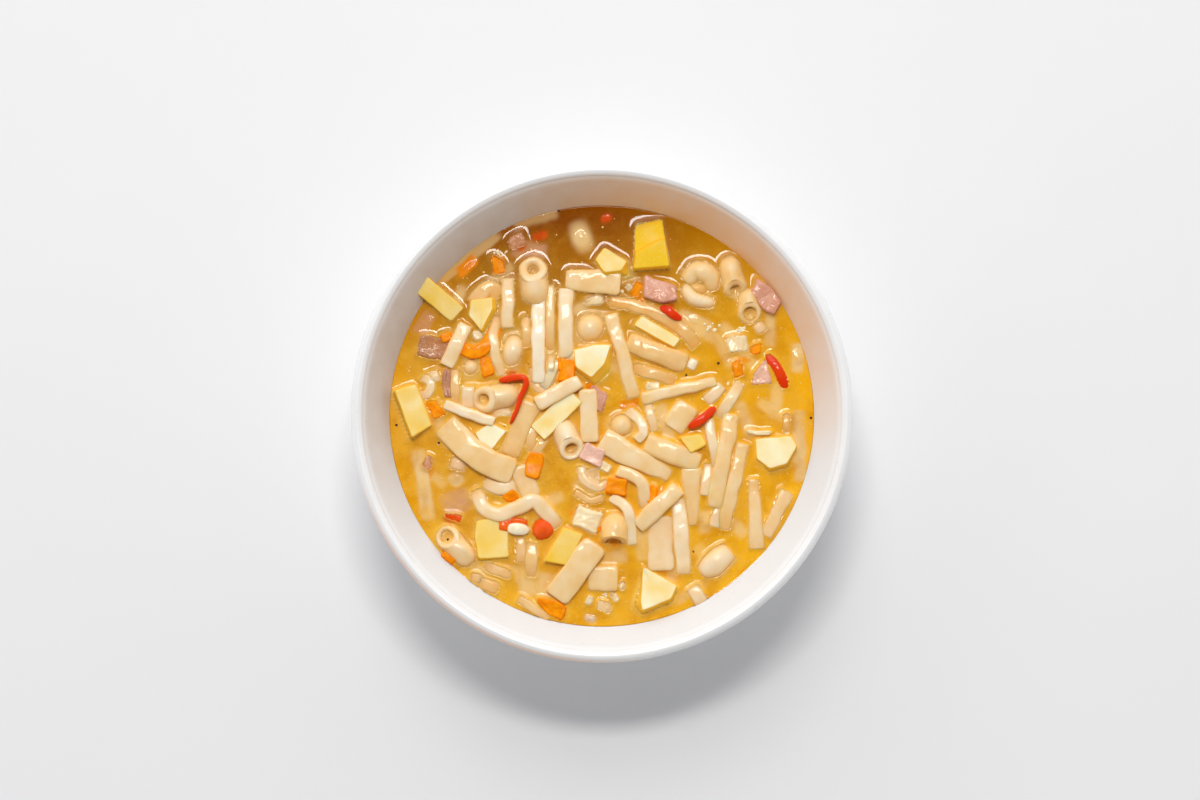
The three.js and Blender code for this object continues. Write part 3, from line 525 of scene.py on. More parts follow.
def noodle(piece, high, corner, seed, tip=0.3, blunt=0.86, wobble=0.15, pitch=0.6, sides=24):
    """Strand or ribbon along its path. Over its tips, tip times its height long, it narrows to
    the blunt share of its width."""
    path, tops = piece["path"], piece["tops"]
    high = piece.get("high", high)
    corner = piece.get("corner", corner)
    swell = 0.05
    if len(path) == 2 and len(tops) == 3:
        path = [path[0], tuple(np.mean(path, axis=0)), path[1]]
    knots = [(x, y, SOUP_LEVEL + top - high / 2) for (x, y), top in zip(path, tops)]
    route, run = route_through(knots)
    length = run[-1]
    tip_length = tip * high
    tip_rings = tip_length * (1 - np.cos(np.linspace(0, math.pi / 2, 5)))[:-1]
    body_rings = np.linspace(tip_length, length - tip_length, max(4, round(length / pitch)))
    stations = np.concatenate([tip_rings, body_rings, length - tip_rings[::-1]])
    places = np.column_stack([np.interp(stations, run, route[:, axis]) for axis in range(3)])
    tangent = np.gradient(places, stations, axis=0)
    tangent /= np.linalg.norm(tangent, axis=1, keepdims=True)
    across = np.cross(tangent, UP)
    across /= np.linalg.norm(across, axis=1, keepdims=True)
    above = np.cross(across, tangent)
    from_end = np.minimum(stations, length - stations) / tip_length
    round_off = np.sqrt(np.clip(1 - (1 - np.minimum(from_end, 1)) ** 2, 0, 1))
    scale = blunt + (1 - blunt) * round_off
    widths = piece["wide"] + (piece.get("far", piece["wide"]) - piece["wide"]) * (stations / length)
    widths *= scale * (1 + swell * waves(places, 9, seed))
    heights = high * scale * (1 + swell * waves(places, 7, seed + 1))
    places = places + across * wobble * waves(places, 8, seed + 2)[:, None]
    outline = section(sides, corner)
    rings = (places[:, None]
             + across[:, None] * (widths[:, None] * outline[:, 0])[..., None]
             + above[:, None] * (heights[:, None] * outline[:, 1])[..., None])
    return loft(roughened(rings, 3, 0.03, seed + 3))


def elbow(piece, seed, sides=36):
    """Elbow tube: its bore, its rounded mouth, a tight bend and a lying part with a closed end."""
    radius = piece["wide"] / 2
    bore = piece["bore"] / 2
    pitch = math.radians(piece["pitch"])
    reach = piece["reach"]
    heading = math.radians(piece["heading"])
    outward = np.array([math.cos(heading), math.sin(heading), 0])
    side = np.cross(outward, UP)
    bend = 0.92 * radius
    lip = 1.1
    wall = radius - bore
    straight = 0.4 * reach
    droop_radius = 9
    cap = 1.15 * radius
    lying = bend * pitch + reach

    def slope_at(distance):
        if distance < bend * pitch:
            return pitch - distance / bend
        return max(0, distance - bend * pitch - straight) / droop_radius

    # Route of the middle line in the plane of the bend, in small steps
    step = 0.05
    count = int((lying + 1.2 * radius) / step) + 2
    slopes = np.array([slope_at(i * step) for i in range(count)])
    ahead = np.concatenate([[0], np.cumsum(np.cos(slopes[:-1]) * step)])
    down = np.concatenate([[0], np.cumsum(np.sin(slopes[:-1]) * step)])
    distances = np.arange(count) * step

    # Distance and radius of each ring: out of the bore, round the lip, over the body, round the end
    profile = [(2.8, 0.1 * bore), (2.8, 0.7 * bore), (2.3, bore), (1.2, bore), (lip, bore)]
    for turn in np.linspace(0, math.pi, 7)[1:-1]:
        profile.append((lip * (1 - math.sin(turn)), bore + wall / 2 * (1 - math.cos(turn))))
    profile += [(distance, radius) for distance in np.linspace(lip, lying, max(6, round(lying / 0.6)))]
    for turn in np.linspace(0, math.pi / 2, 9)[1:-1]:
        profile.append((lying + cap * math.sin(turn), radius * math.cos(turn)))
    angle = np.linspace(0, 2 * math.pi, sides, endpoint=False)
    rings = []
    start = np.array([*piece["mouth"], SOUP_LEVEL + piece["lift"]])
    for distance, size in profile:
        slope = np.interp(distance, distances, slopes)
        middle = start + outward * np.interp(distance, distances, ahead)
        middle = middle - UP * np.interp(distance, distances, down)
        over = UP * math.cos(slope) + outward * math.sin(slope)
        rings.append(middle + size * (np.cos(angle)[:, None] * side + np.sin(angle)[:, None] * over))
    rings = roughened(np.array(rings), 7, 0.16, seed)
    return loft(roughened(rings, 2.4, 0.03, seed + 5))


def rounded_outline(corners, radius, at_corner=7, at_side=9):
    """Points on a polygon with rounded corners, the same number for each side, and their
    outward directions."""
    most_of_side = 0.45
    before, after = np.roll(corners, 1, axis=0), np.roll(corners, -1, axis=0)
    starts, ends = [], []
    for neighbours, places in ((before, starts), (after, ends)):
        for corner, neighbour in zip(corners, neighbours):
            length = np.linalg.norm(neighbour - corner)
            places.append(corner + min(radius, most_of_side * length) * (neighbour - corner) / length)
    outline = []
    for index, corner in enumerate(corners):
        for t in np.linspace(0, 1, at_corner):
            outline.append((1 - t) ** 2 * starts[index] + 2 * t * (1 - t) * corner + t ** 2 * ends[index])
        following = starts[(index + 1) % len(corners)]
        for t in np.linspace(0, 1, at_side + 2)[1:-1]:
            outline.append(ends[index] + t * (following - ends[index]))
    outline = np.array(outline)
    along = np.roll(outline, -1, axis=0) - np.roll(outline, 1, axis=0)
    along /= np.linalg.norm(along, axis=1, keepdims=True)
    return outline, np.column_stack([along[:, 1], -along[:, 0]])


def at_depth(flat, depth):
    """Ring of flat points at a depth under the face."""
    return np.column_stack([flat, np.full(len(flat), -depth)])


def cut_piece(piece, edge, corner, seed, unevenness=0.1, fine=0.02):
    """Piece cut with a knife: its face, sides that slope out to its foot, and softened edges."""
    foot = np.array(piece["corners"], dtype=float)
    face = np.array(piece.get("face", piece["corners"]), dtype=float)
    if np.cross(foot[1] - foot[0], foot[2] - foot[1]) < 0:
        foot, face = foot[::-1], face[::-1]
    middle = foot.mean(axis=0)
    foot, face = foot - middle, face - middle
    thick = piece["thick"]
    least_foot = 0.2
    slope = min(piece.get("slope", 1), thick - 2 * edge - least_foot)

    rings = []
    outline, outward = rounded_outline(face, corner)
    inside = outline - outward * edge
    for scale in (0.08, 0.25, 0.42, 0.58, 0.72, 0.84, 0.93):
        rings.append(at_depth(face.mean(axis=0) + (inside - face.mean(axis=0)) * scale, 0))
    for turn in np.linspace(0, math.pi / 2, 6):
        rings.append(at_depth(outline - outward * edge * (1 - math.sin(turn)), edge * (1 - math.cos(turn))))
    for depth in [*np.linspace(edge, edge + slope, 7)[1:], *np.linspace(edge + slope, thick - edge, 4)[1:]]:
        share = min(1, (depth - edge) / slope)
        rings.append(at_depth(rounded_outline(face + (foot - face) * share, corner)[0], depth))
    outline, outward = rounded_outline(foot, corner)
    for scale in (1, 0.6, 0.2):
        rings.append(at_depth((outline - outward * edge) * scale, thick))
    rings = roughened(np.array(rings), 8, unevenness, seed)
    rings = roughened(rings, 1.8, fine, seed + 4)
    east, north = [math.radians(angle) for angle in piece.get("lean", (0, 0))]
    tilt_north = np.array([
        [1, 0, 0],
        [0, math.cos(north), math.sin(north)],
        [0, -math.sin(north), math.cos(north)],
    ])
    tilt_east = np.array([
        [math.cos(east), 0, math.sin(east)],
        [0, 1, 0],
        [-math.sin(east), 0, math.cos(east)],
    ])
    rings = rings @ tilt_north.T @ tilt_east.T
    return loft(rings + np.array([*middle, SOUP_LEVEL + piece["top"]]))


def dice_corners(piece):
    """Corners of a diced piece's face, where they aren't given, from its middle, size and turn."""
    if "corners" in piece:
        return piece["corners"]
    turn = math.radians(piece["turn"])
    across = np.array([math.cos(turn), math.sin(turn)]) * piece["size"][0] / 2
    away = np.array([-math.sin(turn), math.cos(turn)]) * piece["size"][1] / 2
    return [np.array(piece["at"]) + x * across + y * away for x, y in ((-1, -1), (1, -1), (1, 1), (-1, 1))]


def diced(piece, edge, seed, corner=1.2, unevenness=0.3, fine=0.05):
    """Small piece of a dice, its corners each moved a little."""
    corner_shift = 0.14
    chance = np.random.default_rng(seed)
    corners = np.array(dice_corners(piece))
    corners += corner_shift * chance.uniform(-1, 1, corners.shape) * np.abs(corners - corners.mean(axis=0))
    return cut_piece(dict(piece, corners=corners), edge, corner, seed, unevenness, fine)


def ball(at, radius, top, seed, sides=32, flat=1.0):
    """Uneven round piece; flat below 1 makes it lie flatter."""
    rings = []
    angle = np.linspace(0, 2 * math.pi, sides, endpoint=False)
    for turn in np.linspace(0, math.pi, sides // 2)[1:-1]:
        rings.append(radius * np.column_stack([
            np.cos(angle) * math.sin(turn),
            np.sin(angle) * math.sin(turn),
            np.full(sides, flat * math.cos(turn)),
        ]))
    middle = np.array([*at, SOUP_LEVEL + top - radius * flat])
    return loft(roughened(np.array(rings) + middle, 1.8 * radius, 0.05 * radius, seed))


def turned(outline, segments=BOWL_SEGMENTS):
    """Skin of a turned outline of (radius, height) that starts and ends near the axis."""
    angle = np.linspace(0, 2 * math.pi, segments, endpoint=False)
    x, y = np.cos(angle), np.sin(angle)
    rings = [np.column_stack([r * x, r * y, np.full(segments, z)]) for r, z in outline]
    return loft(np.array(rings))


def bowl_outline():
    """Turned outline of the bowl from under the foot over the lip to the middle of the inside."""
    outer = [(r, outerwall_height(r)) for r in np.linspace(FOOT_RADIUS + 1, RIM_RADIUS - 0.6, 40)]
    lip = []
    for turn in np.linspace(0, 0.92 * math.pi, 18):
        inward, down = LIP_RADIUS * (1 - math.cos(turn)), LIP_RADIUS * (1 - math.sin(turn))
        lip.append((RIM_RADIUS - inward, RIM_HEIGHT - down))
    inner = [(r, innerwall_height(r)) for r in np.linspace(INNER_RIM_RADIUS - 0.6, 0.5, 70)]
    foot_inside = FOOT_RADIUS - FOOT_WIDTH
    return [
        (0.5, FOOT_RECESS),
        (foot_inside / 2, FOOT_RECESS),
        (foot_inside - FOOT_EDGE, FOOT_RECESS),
        (foot_inside - 0.2, FOOT_EDGE),
        (foot_inside + 0.2, 0.15),
        (foot_inside + FOOT_EDGE, 0),
        (FOOT_RADIUS - FOOT_EDGE, 0),
        (FOOT_RADIUS - 0.2, 0.2),
        (FOOT_RADIUS, FOOT_EDGE),
        *outer,
        *lip,
        *inner,
    ]


def core_shape():
    """Settled pasta under the broth, lumpy on top."""
    top = SOUP_LEVEL - CORE_DEPTH
    edge = innerwall_radius(top)
    outline = [(r, innerwall_height(r) + 0.5) for r in np.linspace(0.5, edge - 1.2, 24)]
    outline += [(r, top) for r in np.linspace(edge - 3, 0.5, 80)]
    points, faces = turned(outline, 200)
    on_top = points[:, 2] > top - 0.01
    points[on_top, 2] += 0.45 * waves(points[on_top], 9, 901) + 0.25 * waves(points[on_top], 4, 902)
    return points, faces


def shore_points(points, faces):
    """Points along the lines in which the shapes cut the broth's level."""
    triangles = []
    for face in faces:
        triangles += [(face[0], face[i], face[i + 1]) for i in range(1, len(face) - 1)]
    corners = points[np.array(triangles)]
    found = []
    for first, second in ((0, 1), (1, 2), (2, 0)):
        low, high = corners[:, first], corners[:, second]
        crossing = (low[:, 2] - SOUP_LEVEL) * (high[:, 2] - SOUP_LEVEL) < 0
        low, high = low[crossing], high[crossing]
        share = (SOUP_LEVEL - low[:, 2]) / (high[:, 2] - low[:, 2])
        found.append(low + (high - low) * share[:, None])
    return np.vstack(found)


def broth_shape(points, faces, owners, colours):
    """Broth from wall to wall over and round the given shapes, and the colour seen at each of its
    points: what lies just under it, veiled the more the deeper it lies."""
    radius = innerwall_radius(SOUP_LEVEL + WALL_RISE)
    side = np.linspace(-1, 1, BROTH_CELLS + 1)
    u, v = np.meshgrid(side, side)
    x = (radius * u * np.sqrt(1 - v ** 2 / 2)).ravel()
    y = (radius * v * np.sqrt(1 - u ** 2 / 2)).ravel()

    tree = BVHTree.FromPolygons(points.tolist(), faces)
    face_owner = owners[[face[0] for face in faces]]
    standing = [points[owners == i, 2].max() > SOUP_LEVEL + LEAST_STANDING for i in range(len(colours))]
    shore = shore_points(points, [face for face, owner in zip(faces, face_owner) if standing[owner]])
    nearest = KDTree(len(shore))
    for index, place in enumerate(shore):
        nearest.insert((place[0], place[1], 0), index)
    nearest.balance()

    level = np.empty(len(x))
    depth = np.empty(len(x))
    seen = np.empty((len(x), 4))
    around = np.empty((len(x), 4))
    # clear is the dark brown of the painted shade towards the back, and golden the bright broth of the
    # painted light towards a side
    broth, milky, clear, golden = [np.array(linear(c)) for c in ("#e99f02", "#f4bc44", "#844000", "#ffb808")]
    down = Vector((0, 0, -1))
    for index, (px, py) in enumerate(zip(x.tolist(), y.tolist())):
        hit, _, face, _ = tree.ray_cast(Vector((px, py, SOUP_LEVEL + LOOK_FROM)), down)
        emerged = hit is not None and hit.z > SOUP_LEVEL and standing[face_owner[face]]
        away = 0 if emerged else nearest.find((px, py, 0))[2]
        from_wall = max(0, radius - math.hypot(px, py))
        at_piece = MENISCUS_RISE * math.exp(-away / MENISCUS_REACH)
        if emerged:
            at_piece = min(at_piece, max(LEAST_RISE, hit.z - SOUP_LEVEL - TOP_GAP))
        at_wall = WALL_RISE * math.exp(-from_wall / MENISCUS_REACH)
        level[index] = SOUP_LEVEL + max(at_piece, at_wall)
        if hit is not None and not emerged:
            level[index] = max(level[index], hit.z + SKIN)
        depth[index] = max(0, level[index] - hit.z) if hit is not None else NOTHING_UNDER
        veil = 1 - math.exp(-depth[index] / SIGHT_DEPTH)
        as_milky = MILK_SHARE * math.exp(-away / MILK_REACH)
        # Painted shade darkens the broth towards the back
        as_painted_shade = PAINTED_SHADE_SHARE * min(1, max(0, (py - PAINTED_SHADE_FROM) / PAINTED_SHADE_OVER))
        # Painted light brightens the broth to golden towards a side
        lit_side = (PAINTED_LIGHT_TOWARDS[0] * px + PAINTED_LIGHT_TOWARDS[1] * py) / max(1, math.hypot(px, py))
        as_painted_light = PAINTED_LIGHT_SHARE * min(1, max(0, PAINTED_LIGHT_EVERYWHERE + lit_side))
        over = broth * (1 - as_milky) + milky * as_milky
        over = over * (1 - as_painted_shade) + clear * as_painted_shade
        over = over * (1 - as_painted_light) + golden * as_painted_light
        under = colours[face_owner[face]] if hit is not None else over
        seen[index] = under * (1 - veil) + over * veil
        around[index] = over if emerged else seen[index]
    level += RIPPLE * waves(np.column_stack([x, y, 0 * x]), 11, 31)

    # What lies deeper is blurred more, without the colour of what stands out of the broth
    row = BROTH_CELLS + 1
    soft = around.reshape(row, row, 4).copy()
    for _ in range(BLUR_ROUNDS):
        inner = soft[1:-1, 1:-1] + soft[:-2, 1:-1] + soft[2:, 1:-1] + soft[1:-1, :-2] + soft[1:-1, 2:]
        soft[1:-1, 1:-1] = inner / 5
    blur = 1 - np.exp(-depth / BLUR_DEPTH)[:, None]
    seen = seen * (1 - blur) + soft.reshape(-1, 4) * blur

    # The sides go down the wall and close under the top
    grid = np.arange(row * row).reshape(row, row)
    edge = np.concatenate([grid[0, :-1], grid[:-1, -1], grid[-1, :0:-1], grid[:0:-1, 0]])
    bottom = SOUP_LEVEL - BROTH_DEPTH
    shrink = (innerwall_radius(bottom) - 0.3) / radius
    lower = np.column_stack([x[edge] * shrink, y[edge] * shrink, np.full(len(edge), bottom)])
    top = np.column_stack([x, y, level])
    places = np.vstack([top, lower, [[0, 0, bottom]]])
    cells = np.stack([grid[:-1, :-1], grid[:-1, 1:], grid[1:, 1:], grid[1:, :-1]], axis=-1)
    low = len(top) + np.arange(len(edge))
    low_next = np.roll(low, -1)
    polygons = cells.reshape(-1, 4).tolist()
    polygons += np.column_stack([edge, low, low_next, np.roll(edge, -1)]).tolist()
    middle = len(places) - 1
    polygons += [[middle, b, a] for a, b in zip(low.tolist(), low_next.tolist())]
    tint = np.vstack([seen, np.tile(broth, (len(lower) + 1, 1))])
    return places, polygons, tint


# Materials

def node(material, kind, settings=None):
    """Adds a node. A setting that is another node's output becomes a link."""
    added = material.node_tree.nodes.new(kind)
    for key, value in (settings or {}).items():
        if isinstance(value, bpy.types.NodeSocket):
            material.node_tree.links.new(added.inputs[key], value)
        elif isinstance(key, int) or key in added.inputs:
            added.inputs[key].default_value = value
        else:
            setattr(added, key, value)
    return added


def new_material(name):
    material = bpy.data.materials.new(name)
    material.use_nodes = True
    material.node_tree.nodes.clear()
    return material


def surfaced(material, colour, layers, settings):
    """The material with a surface of a colour, stacked bumps and its other settings. Each bump is
    a height socket and its depth in millimetres."""
    settings["Base Color"] = colour
    for height, depth in layers:
        bump = {"Distance": depth * MM, "Strength": 1, "Height": height}
        if "Normal" in settings:
            bump["Normal"] = settings["Normal"]
        settings["Normal"] = node(material, "ShaderNodeBump", bump).outputs["Normal"]
    shader = node(material, "ShaderNodeBsdfPrincipled", settings)
    node(material, "ShaderNodeOutputMaterial", {"Surface": shader.outputs["BSDF"]})
    return material


def place_of(material):
    """Where a point lies in the shared frame, in metres."""
    return node(material, "ShaderNodeTexCoord").outputs["Object"]


def parts_of(material, vector):
    """X, Y and Z of a vector."""
    return node(material, "ShaderNodeSeparateXYZ", {"Vector": vector}).outputs


def grain(material, size, detail=2, roughness=0.5, distortion=0.0):
    """Noise with bumps of a real size in millimetres."""
    return node(material, "ShaderNodeTexNoise", {
        "Scale": 1 / (size * MM), "Detail": detail, "Roughness": roughness, "Distortion": distortion,
        "Vector": place_of(material),
    }).outputs["Fac"]


def mix(material, factor, first, second):
    """Blend of two colours; each is a linear colour or a socket, and so is the factor."""
    return node(material, "ShaderNodeMix", {"data_type": "RGBA", 0: factor, 6: first, 7: second}).outputs[2]


def times(material, first, *others):
    """Product of a socket and other sockets or numbers."""
    for other in others:
        first = node(material, "ShaderNodeMath", {"operation": "MULTIPLY", 0: first, 1: other}).outputs[0]
    return first


def between(material, value, low, high, start=0.0, end=1.0):
    """Value mapped from low..high to start..end and held there."""
    return node(material, "ShaderNodeMapRange", {
        "From Min": low, "From Max": high, "To Min": start, "To Max": end, "clamp": True, "Value": value,
    }).outputs["Result"]


def facing_up(material, low, high, start=0.0, end=1.0):
    """How level the surface is, by the upward part of its normal, mapped from low..high."""
    normal = node(material, "ShaderNodeNewGeometry").outputs["Normal"]
    return between(material, parts_of(material, normal)["Z"], low, high, start, end)


def around_axis(material, azimuth, start, full):
    """How far a point lies towards an azimuth as seen from the bowl's axis, 0 to 1."""
    level = node(material, "ShaderNodeVectorMath", {
        "operation": "MULTIPLY", 0: place_of(material), 1: (1, 1, 0),
    }).outputs[0]
    outward = node(material, "ShaderNodeVectorMath", {"operation": "NORMALIZE", 0: level}).outputs[0]
    angle = math.radians(azimuth)
    direction = (math.cos(angle), math.sin(angle), 0)
    toward = node(material, "ShaderNodeVectorMath", {"operation": "DOT_PRODUCT", 0: outward, 1: direction})
    return between(material, toward.outputs["Value"], start, full)


def soaked(material, colour, broth_tint, reach):
    """Colour that takes on the broth's tint from the waterline up to a reach."""
    most_soaked = 0.75
    height = parts_of(material, place_of(material))["Z"]
    wet = between(material, height, SOUP_LEVEL * MM, (SOUP_LEVEL + reach) * MM, most_soaked, 0)
    return mix(material, wet, colour, linear(broth_tint))


def by_tone(material, colours, soak, reach, mottle=0.28, size=5):
    """Colour from pale to deep by each piece's tone, mottled, and soaked at the waterline."""
    tone = node(material, "ShaderNodeAttribute", {"attribute_name": "tone"}).outputs["Fac"]
    pale, middle, deep = [linear(colour) for colour in colours]
    patches = between(material, grain(material, size, 2), 0.25, 0.75, -mottle, mottle)
    mottled = node(material, "ShaderNodeMath", {
        "operation": "MULTIPLY_ADD", 0: patches, 1: 0.5, 2: tone,
    }).outputs[0]
    first = mix(material, between(material, mottled, 0, 0.5), pale, middle)
    return soaked(material, mix(material, between(material, mottled, 0.5, 1), first, deep), soak, reach)


def shaded_on_sides(material, colour, side_colour, share):
    """Colour that deepens where the surface is steep: painted shade on the sides, under a lit top."""
    return mix(material, facing_up(material, 0.78, 0.97, share, 0), colour, linear(side_colour))


def glazed_stoneware():
    """Glazed stoneware: smooth clear-white glaze with faint specks, tan at the outer edge where the glaze
    thins and in painted shade under the lip, a painted warm shade on the lip's near left side, a painted
    grey shade over the inside wall, a painted tan shade on the far wall and a painted orange reflection of
    the soup on the wall towards the right."""
    material = new_material("glazed_stoneware")
    clouds = grain(material, 18, 3)
    specks = between(material, grain(material, 1.3, 1), 0.70, 0.78, 0, 0.25)
    white = mix(material, clouds, linear("#e8e7e6"), linear("#eeeeee"))
    body = mix(material, specks, white, linear("#c9bfb2"))

    parts = parts_of(material, place_of(material))
    level = node(material, "ShaderNodeCombineXYZ", {"X": parts["X"], "Y": parts["Y"]}).outputs[0]
    from_axis = node(material, "ShaderNodeVectorMath", {"operation": "LENGTH", 0: level}).outputs["Value"]
    # Tan where the glaze thins on the outside under the lip, and partly painted shade on the lip's
    # downward-facing underside
    outside = between(material, from_axis, (RIM_RADIUS - 1.2) * MM, (RIM_RADIUS - 0.2) * MM)
    under_lip = between(material, parts["Z"], (RIM_HEIGHT - 2.6) * MM, (RIM_HEIGHT - 1.7) * MM, 0.6, 0)
    thin_glaze_and_shade = mix(material, times(material, outside, under_lip), body, linear("#d8bfae"))
    # Painted warm shade on the lip's outer edge, on the near left side, which faces away from the light
    edge_of_lip = between(material, from_axis, (RIM_RADIUS - 1.3) * MM, (RIM_RADIUS - 0.4) * MM, 0, 0.8)
    painted_shade_side = times(material, edge_of_lip, around_axis(material, 236, 0.72, 0.93))
    edge = mix(material, painted_shade_side, thin_glaze_and_shade, linear("#ecc6ac"))

    off_lip = between(material, from_axis, (RIM_RADIUS - 5) * MM, (RIM_RADIUS - 3.2) * MM, 1, 0)
    inside = times(material, facing_up(material, 0.1, 0.3), off_lip)
    # Painted light and shade on the inside wall, stronger towards the broth
    toward_broth = between(material, parts["Z"], SOUP_LEVEL * MM, (RIM_HEIGHT - 1) * MM, 1, 0.62)
    uneven = between(material, grain(material, 7, 3), 0.3, 0.7, 0.82, 1)
    # Painted shade: the inside wall greyed a little
    painted_shade_inside = mix(material, times(material, inside, 0.14), edge, linear("#a2a2a4"))
    painted_wall_light = times(material, inside, toward_broth, uneven)
    # thin is a painted tan shade on the far wall
    thin = times(material, painted_wall_light, around_axis(material, 130, 0.05, 0.85), 0.86)
    # thick is a painted orange reflection of the soup on the wall towards the right
    thick = times(material, painted_wall_light, around_axis(material, 52, 0.42, 1), 0.95)
    colour = mix(material, thick, mix(material, thin, painted_shade_inside, linear("#b5987a")), linear("#e6a556"))
    return surfaced(material, colour, [(grain(material, 9, 1), 0.12)], {
        "Roughness": 0.3, "IOR": 1.5, "Coat Weight": 0.2, "Coat Roughness": 0.12,
    })


def cloudy_broth():
    """Vegetable broth: coloured by what lies under its top, with patches, starch and fine grains where it is
    cloudy, fewer towards the back where painted shade darkens it, and a still, glossy top."""
    material = new_material("cloudy_broth")
    seen = node(material, "ShaderNodeVertexColor", {"layer_name": "seen"}).outputs["Color"]
    # Fewer patches, starch and grains towards the back, where the broth's colour holds painted shade
    cloudy = between(material, parts_of(material, place_of(material))["Y"], 0.008, 0.07, 1, 0.08)
    patches = between(material, grain(material, 11, 4, 0.55, 0.8), 0.46, 0.68, 0, 0.5)
    starch = between(material, grain(material, 7, 4, 0.6, 0.5), 0.48, 0.68, 0, 0.5)
    fine = between(material, grain(material, 0.6, 2), 0.62, 0.72, 0, 0.4)
    colour = seen
    for share, tint in ((patches, "#c87a08"), (starch, "#f0b440"), (fine, "#f7d582")):
        colour = mix(material, times(material, share, cloudy), colour, linear(tint))
    return surfaced(material, colour, [(grain(material, 1.6, 2), 0.002)], {"Roughness": 0.04, "IOR": 1.31})


def boiled_pasta():
    """Boiled wheat pasta: smooth and moist, lets light in a little, golden where it soaked."""
    material = new_material("boiled_pasta")
    toned = by_tone(material, ("#faead0", "#f0cc90", "#e0a042"), "#e8a02c", 1.2)
    layers = [(grain(material, 2.2, 2), 0.02), (grain(material, 0.45, 2), 0.012)]
    # Painted shade: steep sides deepen to golden
    return surfaced(material, shaded_on_sides(material, toned, "#f7bf62", 0.5), layers, {
        "Roughness": 0.5, "IOR": 1.36, "Specular IOR Level": 0.3,
        "Coat Weight": 0.35, "Coat Roughness": 0.07,
        "Subsurface Weight": 0.5, "Subsurface Radius": (1.0, 0.7, 0.35), "Subsurface Scale": 0.0012,
    })


def boiled_potato():
    """Boiled waxy potato, knife cut: pale yellow and dense, floury in fine specks."""
    material = new_material("boiled_potato")
    toned = by_tone(material, ("#fdf1cf", "#f6d684", "#f0c41c"), "#e6a830", 0.8, 0.55, 9)
    powder = between(material, grain(material, 0.7, 3), 0.56, 0.74, 0, 0.2)
    floury = mix(material, powder, toned, linear("#fbf1c6"))
    layers = [(grain(material, 1.6, 3), 0.01), (grain(material, 0.4, 2), 0.005)]
    # Painted shade: steep sides deepen to deep yellow
    return surfaced(material, shaded_on_sides(material, floury, "#ffbe2c", 0.95), layers, {
        "Roughness": 0.55, "IOR": 1.36, "Specular IOR Level": 0.25,
        "Subsurface Weight": 0.5, "Subsurface Radius": (1.0, 0.8, 0.4), "Subsurface Scale": 0.002,
    })


def cooked_ham():
    """Cooked ham, diced: pink meat with a fibrous cut face and paler streaks of fat."""
    material = new_material("cooked_ham")
    toned = by_tone(material, ("#f2c2ac", "#d69476", "#ac7450"), "#c98036", 1)
    streaks = grain(material, 1.3, 4, distortion=1.5)
    colour = mix(material, between(material, streaks, 0.5, 0.66, 0, 0.35), toned, linear("#eec4a6"))
    return surfaced(material, colour, [(streaks, 0.16), (grain(material, 0.5, 2), 0.06)], {
        "Roughness": 0.45, "IOR": 1.36, "Specular IOR Level": 0.4,
        "Coat Weight": 0.25, "Coat Roughness": 0.06,
        "Subsurface Weight": 0.1, "Subsurface Radius": (1.0, 0.6, 0.4), "Subsurface Scale": 0.0006,
    })


def boiled_carrot():
    """Boiled carrot, diced: soft, wet and bright orange, mottled from deep to pale."""
    material = new_material("boiled_carrot")
    patches = between(material, grain(material, 2.6, 3), 0.35, 0.7)
    flesh = mix(material, patches, linear("#f28000"), linear("#fea200"))
    # Painted shade: steep sides deepen to a deeper orange
    colour = shaded_on_sides(material, soaked(material, flesh, "#ee8c08", 0.7), "#f07a00", 0.5)
    layers = [(grain(material, 1.4, 3), 0.012), (grain(material, 0.4, 2), 0.004)]
    return surfaced(material, colour, layers, {
        "Roughness": 0.6, "IOR": 1.34, "Specular IOR Level": 0.12,
        "Coat Weight": 0.07, "Coat Roughness": 0.04,
    })


def cooked_tomato():
    """Cooked tomato skin and pulp: thin, wrinkled, wet and orange red."""
    material = new_material("cooked_tomato")
    colour = by_tone(material, ("#f87c22", "#ee4a08", "#dc2c02"), "#e0600a", 0.3)
    return surfaced(material, colour, [(grain(material, 1.2, 3), 0.02)], {
        "Roughness": 0.5, "IOR": 1.36, "Specular IOR Level": 0.12,
        "Coat Weight": 0.3, "Coat Roughness": 0.04,
    })


def boiled_onion():
    """Boiled onion: milky and translucent, with a soft wet gloss."""
    material = new_material("boiled_onion")
    flesh = mix(material, grain(material, 2.5, 3), linear("#faeaca"), linear("#f0cf8e"))
    return surfaced(material, soaked(material, flesh, "#e0a03c", 0.9), [(grain(material, 1.6, 2), 0.03)], {
        "Roughness": 0.45, "IOR": 1.36, "Coat Weight": 0.25, "Coat Roughness": 0.04,
        "Subsurface Weight": 0.35, "Subsurface Radius": (1.0, 0.8, 0.5), "Subsurface Scale": 0.001,
    })


def small_food(name, pale, deep, size, roughness, coat):
    """Small food bits wet by the broth, mottled from pale to deep in patches of a size in
    millimetres, and a little uneven so that their wet shine breaks up."""
    material = new_material(name)
    patches = between(material, grain(material, size, 2), 0.35, 0.65)
    colour = mix(material, patches, linear(pale), linear(deep))
    return surfaced(material, colour, [(grain(material, size / 2, 1), 0.01)], {
        "Roughness": roughness, "IOR": 1.38, "Coat Weight": coat, "Coat Roughness": 0.05,
    })


def painted_table():
    """White painted table top: matt, with a hardly visible unevenness."""
    material = new_material("painted_table")
    colour = mix(material, grain(material, 120, 3), linear("#ededee"), linear("#f1f1f2"))
    return surfaced(material, colour, [], {"Roughness": 0.85, "IOR": 1.45})


# Pieces

